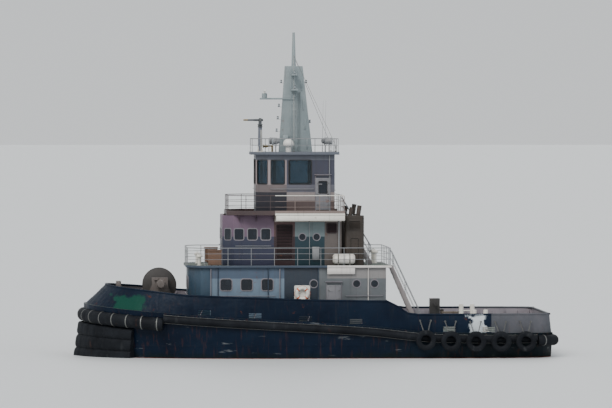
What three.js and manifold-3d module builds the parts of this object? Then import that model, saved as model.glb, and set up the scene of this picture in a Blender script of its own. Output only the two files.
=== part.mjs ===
// Harbour tug with two steerable stern thrusters, modelled at full size in millimetres.
// +X points to the bow, +Y to port and +Z up. The origin is amidships, on the centreline,
// at the waterline.

import * as THREE from 'three';
import { mergeVertices } from 'three/addons/utils/BufferGeometryUtils.js';
import Module from 'manifold-3d';

const wasm = await Module();
wasm.setup();

// Driving dimensions
const GAP = 0.3;               // between pieces that rest on each other
const RUN = 6;                 // between pieces that pass each other
const PLATE = 70;              // house walls
const DECK_PLATE = 100;        // decks and roofs of the house

const BOAT_DECK = 5100;        // top of the lower house
const BRIDGE_DECK = 8020;      // top of the upper house
const ROOF = 11450;            // top of the wheelhouse
const MAST_TOP = 18200;

// Hull lines. Columns: x, half breadth at deck, half breadth at waterline, draught, deck height
const STATIONS = [
  [-13450, 4150, 3300, 500, 1400],
  [-12800, 4650, 4150, 1150, 1400],
  [-10500, 4930, 4600, 1800, 1400],
  [-7000, 5000, 4800, 2600, 1450],
  [-3000, 5000, 4850, 3300, 1830],
  [2000, 5000, 4850, 3600, 2130],
  [6000, 4850, 4500, 3600, 2370],
  [9000, 4350, 3700, 3500, 2600],
  [10850, 3470, 2650, 3200, 2760],
  [11850, 2480, 1650, 2600, 2860],
  [12400, 1520, 720, 1600, 2920],
  [12580, 960, 390, 950, 2940],
  [12660, 420, 150, 500, 2950],
];
// Below the waterline. Columns: share of the half breadth, share of the draught
const BILGE = [[0.08, 1], [0.6, 0.86], [0.86, 0.6], [0.97, 0.28], [1, 0]];

// Bulwark. Columns: x, top height, lean inboard
const BULWARK_TOP = [
  [-13450, 2420, 120],
  [-5400, 2420, 60],
  [-4300, 3160, 60],
  [0, 3220, 80],
  [7000, 3480, 180],
  [10000, 3780, 560],
  [12600, 3970, 1150],
];
const BULWARK_INSET = 70;
const BULWARK_THICK = 70;
const SUNK = 60;               // how far a bulwark's foot reaches into the deck line before it is cut
const BULWARK_SPLIT = { bow: 8600, stern: -11800 };

// Colours, from the sunlit side of the tug
const paint = (color, roughness, metalness = 0.1) =>
  new THREE.MeshStandardMaterial({ color, roughness, metalness });
const BLACK = paint(0x10161f, 0.55);
const BLUE_GREY = paint(0x84929e, 0.45);
const SLATE = paint(0x58505f, 0.45);
const PALE = paint(0xbab4b8, 0.45);
const WHITE = paint(0xe2ded6, 0.45);
const GREY = paint(0x9aa3a6, 0.5);
const RUBBER = paint(0x1b1b1d, 0.9, 0);
const STEEL = paint(0x33383a, 0.5, 0.6);
const BRONZE = paint(0x9c7a45, 0.35, 0.8);
const GREEN = paint(0x1f6b4a, 0.8, 0);
const GLASS = paint(0x1c2a33, 0.08, 0);
const DARK = paint(0x2a2d31, 0.7, 0);

// Solids

function toManifold(geometry) {
  const bare = geometry.clone();
  for (const name of Object.keys(bare.attributes)) {
    if (name !== 'position') bare.deleteAttribute(name);
  }
  const merged = mergeVertices(bare, 0.001);
  return new wasm.Manifold(new wasm.Mesh({
    numProp: 3,
    vertProperties: new Float32Array(merged.attributes.position.array),
    triVerts: new Uint32Array(merged.index.array),
  }));
}

function fromManifold(manifold) {
  const mesh = manifold.getMesh();
  const geometry = new THREE.BufferGeometry();
  geometry.setAttribute('position', new THREE.BufferAttribute(mesh.vertProperties, 3));
  geometry.setIndex(new THREE.BufferAttribute(mesh.triVerts, 1));
  return geometry;
}

function join(...pieces) {
  return fromManifold(pieces.map(toManifold).reduce((sum, piece) => sum.add(piece)));
}

function cut(geometry, ...tools) {
  return fromManifold(tools.map(toManifold)
    .reduce((rest, tool) => rest.subtract(tool), toManifold(geometry)));
}

function box(x0, x1, y0, y1, z0, z1) {
  return new THREE.BoxGeometry(x1 - x0, y1 - y0, z1 - z0)
    .translate((x0 + x1) / 2, (y0 + y1) / 2, (z0 + z1) / 2);
}

// A round bar from one point to another
function bar(from, to, radius, sides = 8, endRadius = radius) {
  const start = new THREE.Vector3(...from);
  const along = new THREE.Vector3(...to).sub(start);
  return new THREE.CylinderGeometry(endRadius, radius, along.length(), sides)
    .applyQuaternion(new THREE.Quaternion().setFromUnitVectors(
      new THREE.Vector3(0, 1, 0), along.clone().normalize()))
    .translate(start.x + along.x / 2, start.y + along.y / 2, start.z + along.z / 2);
}

// A flat outline in plan, raised from z0 to z1
function slab(outline, z0, z1) {
  const shape = new THREE.Shape(outline.map(([x, y]) => new THREE.Vector2(x, y)));
  return new THREE.ExtrudeGeometry(shape, { depth: z1 - z0, bevelEnabled: false })
    .translate(0, 0, z0);
}

// A side outline in x and z, widened from y0 to y1
function panel(outline, y0, y1) {
  const shape = new THREE.Shape(outline.map(([x, z]) => new THREE.Vector2(x, z)));
  return new THREE.ExtrudeGeometry(shape, { depth: y1 - y0, bevelEnabled: false })
    .rotateX(Math.PI / 2).translate(0, y1, 0);
}

function mirrored(outline) {
  return [...outline, ...outline.map(([x, y]) => [x, -y]).reverse()];
}

// A skin through rings of equal length, closed at both ends
function loft(rings) {
  const count = rings[0].length;
  const points = rings.flat();
  const index = [];
  const face = (a, b, c) => index.push(a, b, c);
  for (let r = 0; r < rings.length - 1; r++) {
    for (let i = 0; i < count; i++) {
      const a = r * count + i;
      const b = r * count + (i + 1) % count;
      face(a, b, b + count);
      face(a, b + count, a + count);
    }
  }
  for (const [ring, turn] of [[0, 1], [rings.length - 1, -1]]) {
    const middle = points.length;
    points.push(rings[ring].reduce((sum, p) => sum.map((v, k) => v + p[k] / count), [0, 0, 0]));
    for (let i = 0; i < count; i++) {
      const a = ring * count + i;
      const b = ring * count + (i + 1) % count;
      face(middle, turn > 0 ? b : a, turn > 0 ? a : b);
    }
  }
  const geometry = new THREE.BufferGeometry();
  geometry.setAttribute('position', new THREE.Float32BufferAttribute(points.flat(), 3));
  geometry.setIndex(signedVolume(points, index) < 0 ? index.reverse() : index);
  return geometry;
}

function signedVolume(points, index) {
  let volume = 0;
  for (let i = 0; i < index.length; i += 3) {
    const [a, b, c] = [0, 1, 2].map((k) => new THREE.Vector3(...points[index[i + k]]));
    volume += a.dot(b.cross(c)) / 6;
  }
  return volume;
}

// Reads a column of a table whose first column is x, in proportion between rows
function read(table, x, column) {
  const last = table.length - 1;
  if (x <= table[0][0]) return table[0][column];
  if (x >= table[last][0]) return table[last][column];
  const i = table.findIndex((row) => row[0] >= x);
  const [low, high] = [table[i - 1], table[i]];
  return low[column] + (high[column] - low[column]) * (x - low[0]) / (high[0] - low[0]);
}

// The stations with rows between them, on a smooth curve that never runs past its neighbours
function faired(stations, spacing) {
  const slope = (i, k) => {
    if (i === 0 || i === stations.length - 1) return null;
    const before = (stations[i][k] - stations[i - 1][k]) / (stations[i][0] - stations[i - 1][0]);
    const after = (stations[i + 1][k] - stations[i][k]) / (stations[i + 1][0] - stations[i][0]);
    return before * after <= 0 ? 0 : 2 * before * after / (before + after);
  };
  return stations.flatMap((row, i) => {
    if (i === stations.length - 1) return [row];
    const next = stations[i + 1];
    const [dx, dy] = [next[0] - row[0], Math.abs(next[1] - row[1])];
    const count = Math.ceil(Math.hypot(dx, dy) / spacing);
    return Array.from({ length: count }, (_, j) => {
      const t = j / count;
      return row.map((value, k) => {
        if (k === 0) return value + dx * t;
        const chord = (next[k] - value) / dx;
        const [m0, m1] = [slope(i, k) ?? chord, slope(i + 1, k) ?? chord];
        return value + dx * t * (m0 * (1 - t) ** 2 + chord * t * (3 - 2 * t) - m1 * t * (1 - t));
      });
    });
  });
}

const LINES = faired(STATIONS, 620);
const deckAt = (x) => read(LINES, x, 4);

// Half of a ring in y and z is mirrored across the centreline
function mirroredSection(side) {
  return [...side, ...side.map(([y, z]) => [-y, z]).reverse()];
}

// The hull's own lines, grown outwards by a clearance for cutting its neighbours
function hullBody(grow = 0) {
  return loft(LINES.map(([x, deck, water, draught, height], i) => {
    const side = [
      ...BILGE.map(([wide, deep]) => [wide * water + grow, -deep * draught - grow]),
      [deck + grow, height + grow],
    ];
    const end = i === 0 ? -grow : i === LINES.length - 1 ? grow : 0;
    return mirroredSection(side).map(([y, z]) => [x + end, y, z]);
  }));
}

const hullCutter = hullBody(GAP);
const onDeck = (geometry) => cut(geometry, hullCutter);

// Deck edge in plan, from the port quarter round the bow to the starboard quarter
function deckEdge(from, to) {
  const xs = [from, ...LINES.map((row) => row[0]).filter((x) => x > from && x < to), to];
  return xs.map((x) => [x, read(LINES, x, 1)]);
}

const bowEdge = (from) => {
  const port = deckEdge(from, LINES[LINES.length - 1][0]);
  return [...port, ...port.map(([x, y]) => [x, -y]).reverse()];
};
const sternEdge = (to) => {
  const port = deckEdge(LINES[0][0], to).reverse();
  return [...port, ...port.map(([x, y]) => [x, -y]).reverse()];
};

// Outward directions in plan along an edge, taken as the mean of its two sides
function outward(edge) {
  return edge.map((_, i) => {
    const before = edge[Math.max(i - 1, 0)];
    const after = edge[Math.min(i + 1, edge.length - 1)];
    const length = Math.hypot(after[0] - before[0], after[1] - before[1]);
    const normal = [-(after[1] - before[1]) / length, (after[0] - before[0]) / length];
    const out = normal[0] * edge[i][0] + normal[1] * edge[i][1] < 0 ? -1 : 1;
    return normal.map((v) => v * out);
  });
}

// A bar of constant section run along an edge. Section points are [out, height] at each x
function along(edge, section) {
  const normals = outward(edge);
  return loft(edge.map(([x, y], i) => section(x).map(([out, z]) =>
    [x + normals[i][0] * out, y + normals[i][1] * out, z])));
}

function bulwark(edge) {
  const inset = -BULWARK_INSET;
  return onDeck(along(edge, (x) => {
    const top = read(BULWARK_TOP, x, 1);
    const lean = inset - read(BULWARK_TOP, x, 2);
    return [
      [inset, deckAt(x) - SUNK],
      [lean, top],
      [lean - BULWARK_THICK, top],
      [inset - BULWARK_THICK, deckAt(x) - SUNK],
    ];
  }));
}

// A bent wall: a plan path thickened to its inner side, with its corners mitred
function bentOutline(path, inset, thick) {
  const sideways = path.slice(1).map(([x, y], i) => {
    const [dx, dy] = [x - path[i][0], y - path[i][1]];
    const length = Math.hypot(dx, dy);
    return [-dy / length, dx / length];
  });
  const offset = (distance) => path.map(([x, y], i) => {
    const a = sideways[Math.max(i - 1, 0)];
    const b = sideways[Math.min(i, sideways.length - 1)];
    const scale = distance / (1 + a[0] * b[0] + a[1] * b[1]);
    return [x + (a[0] + b[0]) * scale, y + (a[1] + b[1]) * scale];
  });
  return [...offset(inset), ...offset(inset + thick).reverse()];
}

const bentWall = (path, z0, z1, inset = 0, thick = PLATE) =>
  slab(bentOutline(path, inset, thick), z0, z1);

// A straight cutter across the wall that runs from p to q, between two distances along it
function wallCut([px, py], [qx, qy], from, to, z0, z1) {
  const length = Math.hypot(qx - px, qy - py);
  const middle = (from + to) / 2 / length;
  return new THREE.BoxGeometry(to - from, 6 * PLATE, z1 - z0)
    .rotateZ(Math.atan2(qy - py, qx - px))
    .translate(px + (qx - px) * middle, py + (qy - py) * middle, (z0 + z1) / 2);
}

const tug = new THREE.Group();

function add(name, geometry, material, parent = tug) {
  const mesh = new THREE.Mesh(geometry, material);
  mesh.name = name;
  parent.add(mesh);
  return mesh;
}

const SIDES = [['port', 1], ['stbd', -1]];

// Hull, with its skeg and the two seats that the thrusters turn under

const THRUSTER = { x: -10300, y: 2450, seat: -2150, seatRadius: 850, seatDeep: 900, hub: -3450 };
const SKEG = { half: 160, outline: [[2500, -3200], [1200, -4300], [-7200, -4300], [-8200, -2000]] };

const skeg = panel(SKEG.outline, -SKEG.half, SKEG.half);
const seats = SIDES.map(([, side]) => bar(
  [THRUSTER.x, side * THRUSTER.y, THRUSTER.seat],
  [THRUSTER.x, side * THRUSTER.y, THRUSTER.seat + THRUSTER.seatDeep], THRUSTER.seatRadius, 24));
add('hull', join(hullBody(), skeg, ...seats), BLACK);

// Bulwarks

const BOW_LEAD = { half: 550, low: 3250, top: 3650 };
const STERN_LEAD = { y: 1700, half: 400, low: 1750, top: 2100 };
const FREEING_PORT = { xs: [-9800, -7600, -2400, 400, 3200, 6000], half: 350, low: 60, top: 330 };
const bowFairlead = box(11000, 13500, -BOW_LEAD.half, BOW_LEAD.half, BOW_LEAD.low, BOW_LEAD.top);
add('bulwark_bow', cut(bulwark(bowEdge(BULWARK_SPLIT.bow + GAP)), bowFairlead), BLACK);
const sternFairleads = SIDES.map(([, side]) =>
  box(-14500, -12000, side * STERN_LEAD.y - STERN_LEAD.half, side * STERN_LEAD.y + STERN_LEAD.half,
    STERN_LEAD.low, STERN_LEAD.top));
add('bulwark_stern',
  cut(bulwark(sternEdge(BULWARK_SPLIT.stern - GAP)), ...sternFairleads), BLACK);
for (const [name, side] of SIDES) {
  const edge = deckEdge(BULWARK_SPLIT.stern, BULWARK_SPLIT.bow)
    .map(([x, y]) => [x, y * side]);
  const ports = FREEING_PORT.xs.map((x) => box(
    x - FREEING_PORT.half, x + FREEING_PORT.half, side * 4950 - 450, side * 4950 + 450,
    deckAt(x) + FREEING_PORT.low, deckAt(x) + FREEING_PORT.top));
  add(`bulwark_${name}`, cut(bulwark(edge), ...ports), BLACK);
}

// Rubber fenders: a round one over the bow, a block apron below it, half-round strakes
// with hung tyres along the sides, and a round one across the stern

const BOW_FENDER = { radius: 360, out: 0, below: 640, from: 8300 };
const APRON = { from: 9900, bottom: -250, under: 60, topOut: 320, lowOut: 620 };
const STRAKE = { out: 240, high: 420, below: 330, from: -12500, to: 8250 };
const STERN_FENDER = { radius: 300, out: 60, below: 420, to: -12560 };
const TYRE = { radius: 560, tube: 185, drop: 120, xs: [-11850, -10450, -9050, -7650, -6250] };
const FENDER_ROOT = 120;       // how far a fender's back reaches into the hull before it is cut

const roundSection = (radius, out, below, sides = 12) => (x) =>
  Array.from({ length: sides }, (_, i) => {
    const angle = (i + 0.5) / sides * 2 * Math.PI;
    return [out + radius * Math.cos(angle), deckAt(x) - below + radius * Math.sin(angle)];
  });

add('bow_fender', onDeck(along(bowEdge(BOW_FENDER.from),
  roundSection(BOW_FENDER.radius, BOW_FENDER.out, BOW_FENDER.below))), RUBBER);

// Half breadth of the hull's side between the waterline and the deck
function sideHalf(x, z) {
  const [deck, water] = [read(LINES, x, 1), read(LINES, x, 2)];
  return water + (deck - water) * Math.max(z, 0) / deckAt(x);
}

function apron() {
  const edge = bowEdge(APRON.from);
  const topAt = (x) => deckAt(x) - BOW_FENDER.below - BOW_FENDER.radius - APRON.under;
  const ring = (height, out) => {
    const line = edge.map(([x, y]) => [x, Math.sign(y) * sideHalf(x, height(x))]);
    const normals = outward(line);
    return line.map(([x, y], i) =>
      [x + normals[i][0] * out, y + normals[i][1] * out, height(x)]);
  };
  const lowAt = () => APRON.bottom;
  const [topIn, topOut] = [ring(topAt, -FENDER_ROOT), ring(topAt, APRON.topOut)];
  const [lowIn, lowOut] = [ring(lowAt, -FENDER_ROOT), ring(lowAt, APRON.lowOut)];
  return onDeck(loft(edge.map((_, i) => [lowOut[i], topOut[i], topIn[i], lowIn[i]])));
}
add('bow_apron', apron(), RUBBER);

add('stern_fender', onDeck(along(sternEdge(STERN_FENDER.to),
  roundSection(STERN_FENDER.radius, STERN_FENDER.out, STERN_FENDER.below))), RUBBER);

for (const [name, side] of SIDES) {
  const edge = deckEdge(STRAKE.from, STRAKE.to).map(([x, y]) => [x, y * side]);
  const strake = along(edge, (x) => {
    const low = deckAt(x) - STRAKE.below - STRAKE.high / 2;
    return [
      [-FENDER_ROOT, low], [STRAKE.out * 0.6, low], [STRAKE.out, low + STRAKE.high * 0.3],
      [STRAKE.out, low + STRAKE.high * 0.7], [STRAKE.out * 0.6, low + STRAKE.high],
      [-FENDER_ROOT, low + STRAKE.high],
    ];
  });
  const tyres = TYRE.xs.map((x) => new THREE.TorusGeometry(TYRE.radius - TYRE.tube, TYRE.tube, 8, 20)
    .rotateX(Math.PI / 2)
    .translate(x, side * (read(LINES, x, 1) + STRAKE.out + TYRE.tube * 0.75),
      deckAt(x) - STRAKE.below - TYRE.drop));
  add(`side_fender_${name}`, onDeck(join(strake, ...tyres)), RUBBER);
}

// Steerable thrusters: a leg and gear pod with a nozzle round the propeller

const NOZZLE = { radius: 1230, wall: 130, fore: -275, aft: -1325 };
const PROPELLER = { radius: 1060, hub: 230, blades: 4, pitch: 0.5, x: -700, fore: -440 };

const aroundX = (profile, segments) =>
  new THREE.LatheGeometry(profile.map(([r, x]) => new THREE.Vector2(r, x)), segments)
    .rotateZ(-Math.PI / 2);

function thrusterHousing() {
  const hub = THRUSTER.hub - THRUSTER.seat;
  const inner = NOZZLE.radius - NOZZLE.wall;
  const podAft = PROPELLER.fore + GAP;
  const leg = new THREE.CylinderGeometry(430, 400, -hub, 16)
    .rotateX(Math.PI / 2).translate(0, 0, hub / 2);
  const collar = new THREE.CylinderGeometry(780, 780, 180, 20)
    .rotateX(Math.PI / 2).translate(0, 0, -90);
  const pod = aroundX([[0, podAft], [230, podAft], [400, -100], [400, 400], [250, 850], [0, 1000]], 16)
    .translate(0, 0, hub);
  const ring = aroundX([
    [inner, NOZZLE.aft], [NOZZLE.radius - 60, NOZZLE.aft], [NOZZLE.radius, NOZZLE.fore - 250],
    [NOZZLE.radius - 50, NOZZLE.fore], [inner, NOZZLE.fore - 250], [inner, NOZZLE.aft],
  ], 28).translate(0, 0, hub);
  const lowStrut = panel([[-430, hub - 1160], [-285, hub - 1160], [200, hub - 300], [-380, hub - 300]],
    -50, 50);
  const crown = box(-1100, 0, -260, 260, hub + inner + 10, -20);
  return join(leg, collar, pod, ring, lowStrut, crown);
}

function propeller() {
  const { radius, hub, blades, pitch, x, fore } = PROPELLER;
  const boss = aroundX([[0, -330], [110, -300], [hub, -120], [hub, fore - x], [0, fore - x]], 16);
  const root = hub * 0.5;
  const blade = (i) => new THREE.BoxGeometry(50, 520, radius - root)
    .rotateZ(pitch)
    .translate(0, 0, (root + radius) / 2)
    .rotateX(i * 2 * Math.PI / blades);
  const disc = new THREE.CylinderGeometry(radius, radius, 700, 28).rotateZ(Math.PI / 2);
  const screw = join(boss, ...Array.from({ length: blades }, (_, i) => blade(i)));
  return fromManifold(toManifold(screw).intersect(toManifold(disc)));
}

for (const [name, side] of SIDES) {
  const unit = new THREE.Group();
  unit.position.set(THRUSTER.x, side * THRUSTER.y, THRUSTER.seat - GAP);
  tug.add(unit);
  add(`thruster_${name}`, thrusterHousing(), BLACK, unit);
  add(`propeller_${name}`, propeller(), BRONZE, unit)
    .position.set(PROPELLER.x, 0, THRUSTER.hub - THRUSTER.seat);
}

// Lower house, with a door on each side, under the boat deck

const HOUSE = { front: 6800, aft: -4200, half: 3200, chamferX: 650, chamferY: 800 };
const DOOR = { wide: 760, high: 1800, thick: 60, barrel: 26, lap: 45 };
const HOUSE_DOOR = { hinge: -900, sill: 260 };

// Front wall path round both chamfered corners, from starboard to port
function frontPath({ front, half, chamferX, chamferY }, returnLength = 500) {
  const port = [
    [front, half - chamferY],
    [front - chamferX, half],
    [front - chamferX - returnLength, half],
  ];
  return [...port.map(([x, y]) => [x, -y]).reverse(), ...port];
}

// A doorway in a side wall, and the two lugs that carry the door's hinge pin
function doorway(hinge, sill, side, wallFace) {
  const opening = box(hinge - DOOR.wide + DOOR.lap, hinge - DOOR.lap,
    wallFace - 3 * PLATE, wallFace + 3 * PLATE, sill + DOOR.lap, sill + DOOR.high - DOOR.lap);
  const axis = wallFace + side * (RUN + DOOR.thick / 2);
  const reach = [wallFace - side * 20, axis + side * DOOR.barrel].sort((a, b) => a - b);
  const lug = (z0, z1) => box(hinge - DOOR.barrel, hinge + DOOR.barrel, ...reach, z0, z1);
  const lugs = [lug(sill - 70, sill - GAP), lug(sill + DOOR.high + GAP, sill + DOOR.high + 70)];
  return { opening, lugs, axis };
}

// The door stands shut, flat against the outside of the wall, and hinges on its fore edge
function doorLeaf(window) {
  const half = DOOR.thick / 2;
  const leaf = box(-DOOR.wide, 0, -half, half, 0, DOOR.high);
  const barrel = new THREE.CylinderGeometry(DOOR.barrel, DOOR.barrel, DOOR.high, 12)
    .rotateX(Math.PI / 2).translate(0, 0, DOOR.high / 2);
  const leafAndPin = join(leaf, barrel);
  return window ? cut(leafAndPin, box(-DOOR.wide + 160, -160, -100, 100, 950, 1600)) : leafAndPin;
}

function addDoor(name, hinge, sill, axis, window) {
  add(name, doorLeaf(window), WHITE).position.set(hinge, axis, sill);
}

const lowerZ = [900, BOAT_DECK - DECK_PLATE - GAP];
add('deckhouse_front', onDeck(bentWall(frontPath(HOUSE), ...lowerZ)), BLUE_GREY);
for (const [name, side] of SIDES) {
  const fore = HOUSE.front - HOUSE.chamferX - 500 - GAP;
  const faces = [side * HOUSE.half, side * (HOUSE.half - PLATE)].sort((a, b) => a - b);
  const sill = deckAt(HOUSE_DOOR.hinge) + HOUSE_DOOR.sill;
  const { opening, lugs, axis } = doorway(HOUSE_DOOR.hinge, sill, side, side * HOUSE.half);
  const wall = onDeck(box(HOUSE.aft, fore, ...faces, ...lowerZ));
  add(`deckhouse_${name}`, join(cut(wall, opening), ...lugs), BLUE_GREY);
  addDoor(`door_deckhouse_${name}`, HOUSE_DOOR.hinge, sill, axis, false);
}
const insideHalf = HOUSE.half - PLATE - GAP;
add('deckhouse_aft',
  onDeck(box(HOUSE.aft, HOUSE.aft + PLATE, -insideHalf, insideHalf, ...lowerZ)), BLUE_GREY);
const DECK_LAP = 160;
const deckPlan = (house, aft, lap) => mirrored([
  [aft, house.half + lap],
  [house.front - house.chamferX + lap / 2, house.half + lap],
  [house.front + lap, house.half - house.chamferY + lap / 2],
]);
const boatDeckPlan = deckPlan(HOUSE, HOUSE.aft - 300, DECK_LAP);
add('boat_deck', slab(boatDeckPlan, BOAT_DECK - DECK_PLATE, BOAT_DECK), WHITE);

// Upper house, under the bridge deck

const UPPER = { front: 4900, aft: -1750, half: 2500, chamferX: 600, chamferY: 700 };
const upperZ = [BOAT_DECK + GAP, BRIDGE_DECK - DECK_PLATE - GAP];
add('upper_house_front', bentWall(frontPath(UPPER), ...upperZ), SLATE);
for (const [name, side] of SIDES) {
  const fore = UPPER.front - UPPER.chamferX - 500 - GAP;
  const faces = [side * UPPER.half, side * (UPPER.half - PLATE)].sort((a, b) => a - b);
  add(`upper_house_${name}`, box(UPPER.aft, fore, ...faces, ...upperZ), SLATE);
}
const upperInside = UPPER.half - PLATE - GAP;
add('upper_house_aft',
  box(UPPER.aft, UPPER.aft + PLATE, -upperInside, upperInside, ...upperZ), SLATE);
const BRIDGE = { front: 4500, aft: -1900, half: 3050, chamferX: 900, chamferY: 1000 };
const bridgePlan = deckPlan(BRIDGE, BRIDGE.aft, DECK_LAP);
add('bridge_deck', slab(bridgePlan, BRIDGE_DECK - DECK_PLATE, BRIDGE_DECK), WHITE);

// Wheelhouse: window band all round, a door on each side, and a roof that overhangs

const WHEEL = { front: 3000, aft: -1400, half: 2000, chamferX: 700, chamferY: 750 };
const WINDOW = { sill: 9650, head: 11000, post: 110 };
const WHEEL_DOOR = { hinge: -350, sill: BRIDGE_DECK + 180 };
const wheelZ = [BRIDGE_DECK + GAP, ROOF - DECK_PLATE - 50 - GAP];
const wheelPath = frontPath(WHEEL, 1000);

// Window cutters side by side along a wall
function windows(p, q, count, from, to) {
  const pitch = (to - from) / count;
  return Array.from({ length: count }, (_, i) => wallCut(p, q,
    from + i * pitch + WINDOW.post / 2, from + (i + 1) * pitch - WINDOW.post / 2,
    WINDOW.sill, WINDOW.head));
}
const spanWindows = (path, i, count) => {
  const length = Math.hypot(path[i + 1][0] - path[i][0], path[i + 1][1] - path[i][1]);
  return windows(path[i], path[i + 1], count, 60, length - 60);
};
const FRONT_WINDOWS = [1, 1, 3, 1, 1];     // in each leg of the bent front wall
add('wheelhouse_front', cut(bentWall(wheelPath, ...wheelZ),
  ...FRONT_WINDOWS.flatMap((count, i) => spanWindows(wheelPath, i, count))), PALE);
for (const [name, side] of SIDES) {
  const fore = WHEEL.front - WHEEL.chamferX - 1000 - GAP;
  const faces = [side * WHEEL.half, side * (WHEEL.half - PLATE)].sort((a, b) => a - b);
  const { opening, lugs, axis } = doorway(WHEEL_DOOR.hinge, WHEEL_DOOR.sill, side, side * WHEEL.half);
  const glazed = windows([fore, side * WHEEL.half], [WHEEL.aft, side * WHEEL.half], 1, 60, 1450);
  add(`wheelhouse_${name}`, join(cut(box(WHEEL.aft, fore, ...faces, ...wheelZ),
    opening, ...glazed), ...lugs), PALE);
  addDoor(`door_wheelhouse_${name}`, WHEEL_DOOR.hinge, WHEEL_DOOR.sill, axis, true);
}
const wheelInside = WHEEL.half - PLATE - GAP;
const aftWindows = windows([WHEEL.aft, -wheelInside], [WHEEL.aft, wheelInside],
  3, 200, 2 * wheelInside - 200);
add('wheelhouse_aft', cut(
  box(WHEEL.aft, WHEEL.aft + PLATE, -wheelInside, wheelInside, ...wheelZ), ...aftWindows), PALE);

const PANE = 14;
const paneZ = [WINDOW.sill - 50, WINDOW.head + 50];
const paneEnd = WHEEL.front - WHEEL.chamferX - 2420;
const panePath = wheelPath.map(([x, y], i) =>
  (i === 0 || i === wheelPath.length - 1 ? [paneEnd, y] : [x, y]));
add('wheelhouse_glass_fore', bentWall(panePath, ...paneZ, PLATE + GAP, PANE), GLASS);
add('wheelhouse_glass_aft', box(WHEEL.aft + PLATE + GAP, WHEEL.aft + PLATE + GAP + PANE,
  -wheelInside + 120, wheelInside - 120, ...paneZ), GLASS);

// Roof, with the stand of the fire monitor at its fore edge

const MONITOR = { x: 2700, top: 12850 };
const monitorStand = bar([MONITOR.x, 0, ROOF - 50], [MONITOR.x, 0, MONITOR.top], 130, 12, 110);
const roofPlate = slab(deckPlan(WHEEL, WHEEL.aft - 250, 260), ROOF - DECK_PLATE - 50, ROOF);
add('wheelhouse_roof', join(roofPlate, monitorStand), WHITE);

const swivelTop = MONITOR.top + GAP;
add('monitor_swivel', join(
  new THREE.CylinderGeometry(150, 150, 160, 16).rotateX(Math.PI / 2).translate(0, 0, 80),
  box(-90, 90, -190, -110, 100, 520),
  box(-90, 90, 110, 190, 100, 520),
), STEEL).position.set(MONITOR.x, 0, swivelTop);
add('monitor_barrel', join(
  new THREE.CylinderGeometry(90, 90, 220 - 2 * GAP, 16),
  bar([-180, 0, 0], [950, 0, 0], 75, 12, 48),
), STEEL).position.set(MONITOR.x, 0, swivelTop + 400);

// Wheelhouse fittings

add('helm_console', panel([[1500, BRIDGE_DECK + GAP], [2300, BRIDGE_DECK + GAP], [2300, 9250],
  [2050, 9420], [1500, 9150]], -1100, 1100), DARK);
add('helm_chair', join(
  bar([700, 0, BRIDGE_DECK + GAP], [700, 0, 8800], 70, 10),
  bar([700, 0, BRIDGE_DECK + GAP], [700, 0, BRIDGE_DECK + 50], 260, 14),
  box(430, 970, -270, 270, 8780, 8900),
  box(380, 480, -250, 250, 8850, 9600),
), DARK);

// Mast: a tapered plate mast with a radar shelf and two crosstrees

const RADAR = { x: 2450, z: 14500 };
const MAST = {
  x: 800, half: 190, pole: 16300,
  outline: [[-250, ROOF + GAP], [1650, ROOF + GAP], [1300, 16300], [300, 16300]],
  crosstrees: [[14900, 170, 1500], [15750, 150, 1050]],   // height, half length, half breadth
};
const radarHead = bar([RADAR.x, 0, RADAR.z - 20], [RADAR.x, 0, RADAR.z + 260], 150, 12);
add('mast', join(
  panel(MAST.outline, -MAST.half, MAST.half),
  box(MAST.x, RADAR.x + 260, -260, 260, RADAR.z - 90, RADAR.z),
  radarHead,
  ...MAST.crosstrees.map(([z, halfX, halfY]) =>
    box(MAST.x - halfX, MAST.x + halfX, -halfY, halfY, z, z + 110)),
  bar([MAST.x, 0, MAST.pole - 100], [MAST.x, 0, MAST_TOP], 130, 12, 70),
), GREY);
add('radar_scanner', join(
  bar([0, 0, 0], [0, 0, 90], 90, 12),
  box(-60, 60, -980, 980, 80, 210),
), WHITE).position.set(RADAR.x, 0, RADAR.z + 260 + GAP);

// Funnels on the boat deck, with two exhaust pipes each

const FUNNEL = { x: -2480, y: 2130, halfX: 540, halfY: 400, top: 7900, round: 180 };
// Exhaust pipes of a funnel. Columns: x at the top plate, lean aft, height over the top, radius
const PIPES = [[-220, 90, 560, 140], [230, 90, 460, 115]];
function roundedPlan(halfX, halfY, radius, steps = 3) {
  const corner = (cx, cy, from) => Array.from({ length: steps + 1 }, (_, i) => {
    const angle = from + i / steps * Math.PI / 2;
    return [cx + radius * Math.cos(angle), cy + radius * Math.sin(angle)];
  });
  const [x, y] = [halfX - radius, halfY - radius];
  return [...corner(x, y, 0), ...corner(-x, y, Math.PI / 2),
    ...corner(-x, -y, Math.PI), ...corner(x, -y, 1.5 * Math.PI)];
}
for (const [name, side] of SIDES) {
  const base = BOAT_DECK + GAP;
  add(`funnel_${name}`, join(
    slab(roundedPlan(FUNNEL.halfX, FUNNEL.halfY, FUNNEL.round), base, FUNNEL.top),
    ...PIPES.map(([x, lean, over, radius]) =>
      bar([x, 0, FUNNEL.top - 50], [x - lean, 0, FUNNEL.top + over], radius, 12)),
  ), BLACK).position.set(FUNNEL.x, side * FUNNEL.y, 0);
}

// Life rafts in their canisters, on the boat deck beside the upper house

const RAFT = { x: -1850, y: 2950, radius: 300, half: 620 };
for (const [name, side] of SIDES) {
  const height = RAFT.radius + 80;
  const shell = aroundX([[0, -RAFT.half], [200, -RAFT.half], [RAFT.radius, -RAFT.half + 120],
    [RAFT.radius, RAFT.half - 120], [200, RAFT.half], [0, RAFT.half]], 16).translate(0, 0, height);
  const saddle = (x) => box(x - 50, x + 50, -240, 240, 0, height);
  add(`liferaft_${name}`, join(shell, saddle(-320), saddle(320)), WHITE)
    .position.set(RAFT.x, side * RAFT.y, BOAT_DECK + GAP);
}

// Stairs: two stringers and their treads

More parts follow.
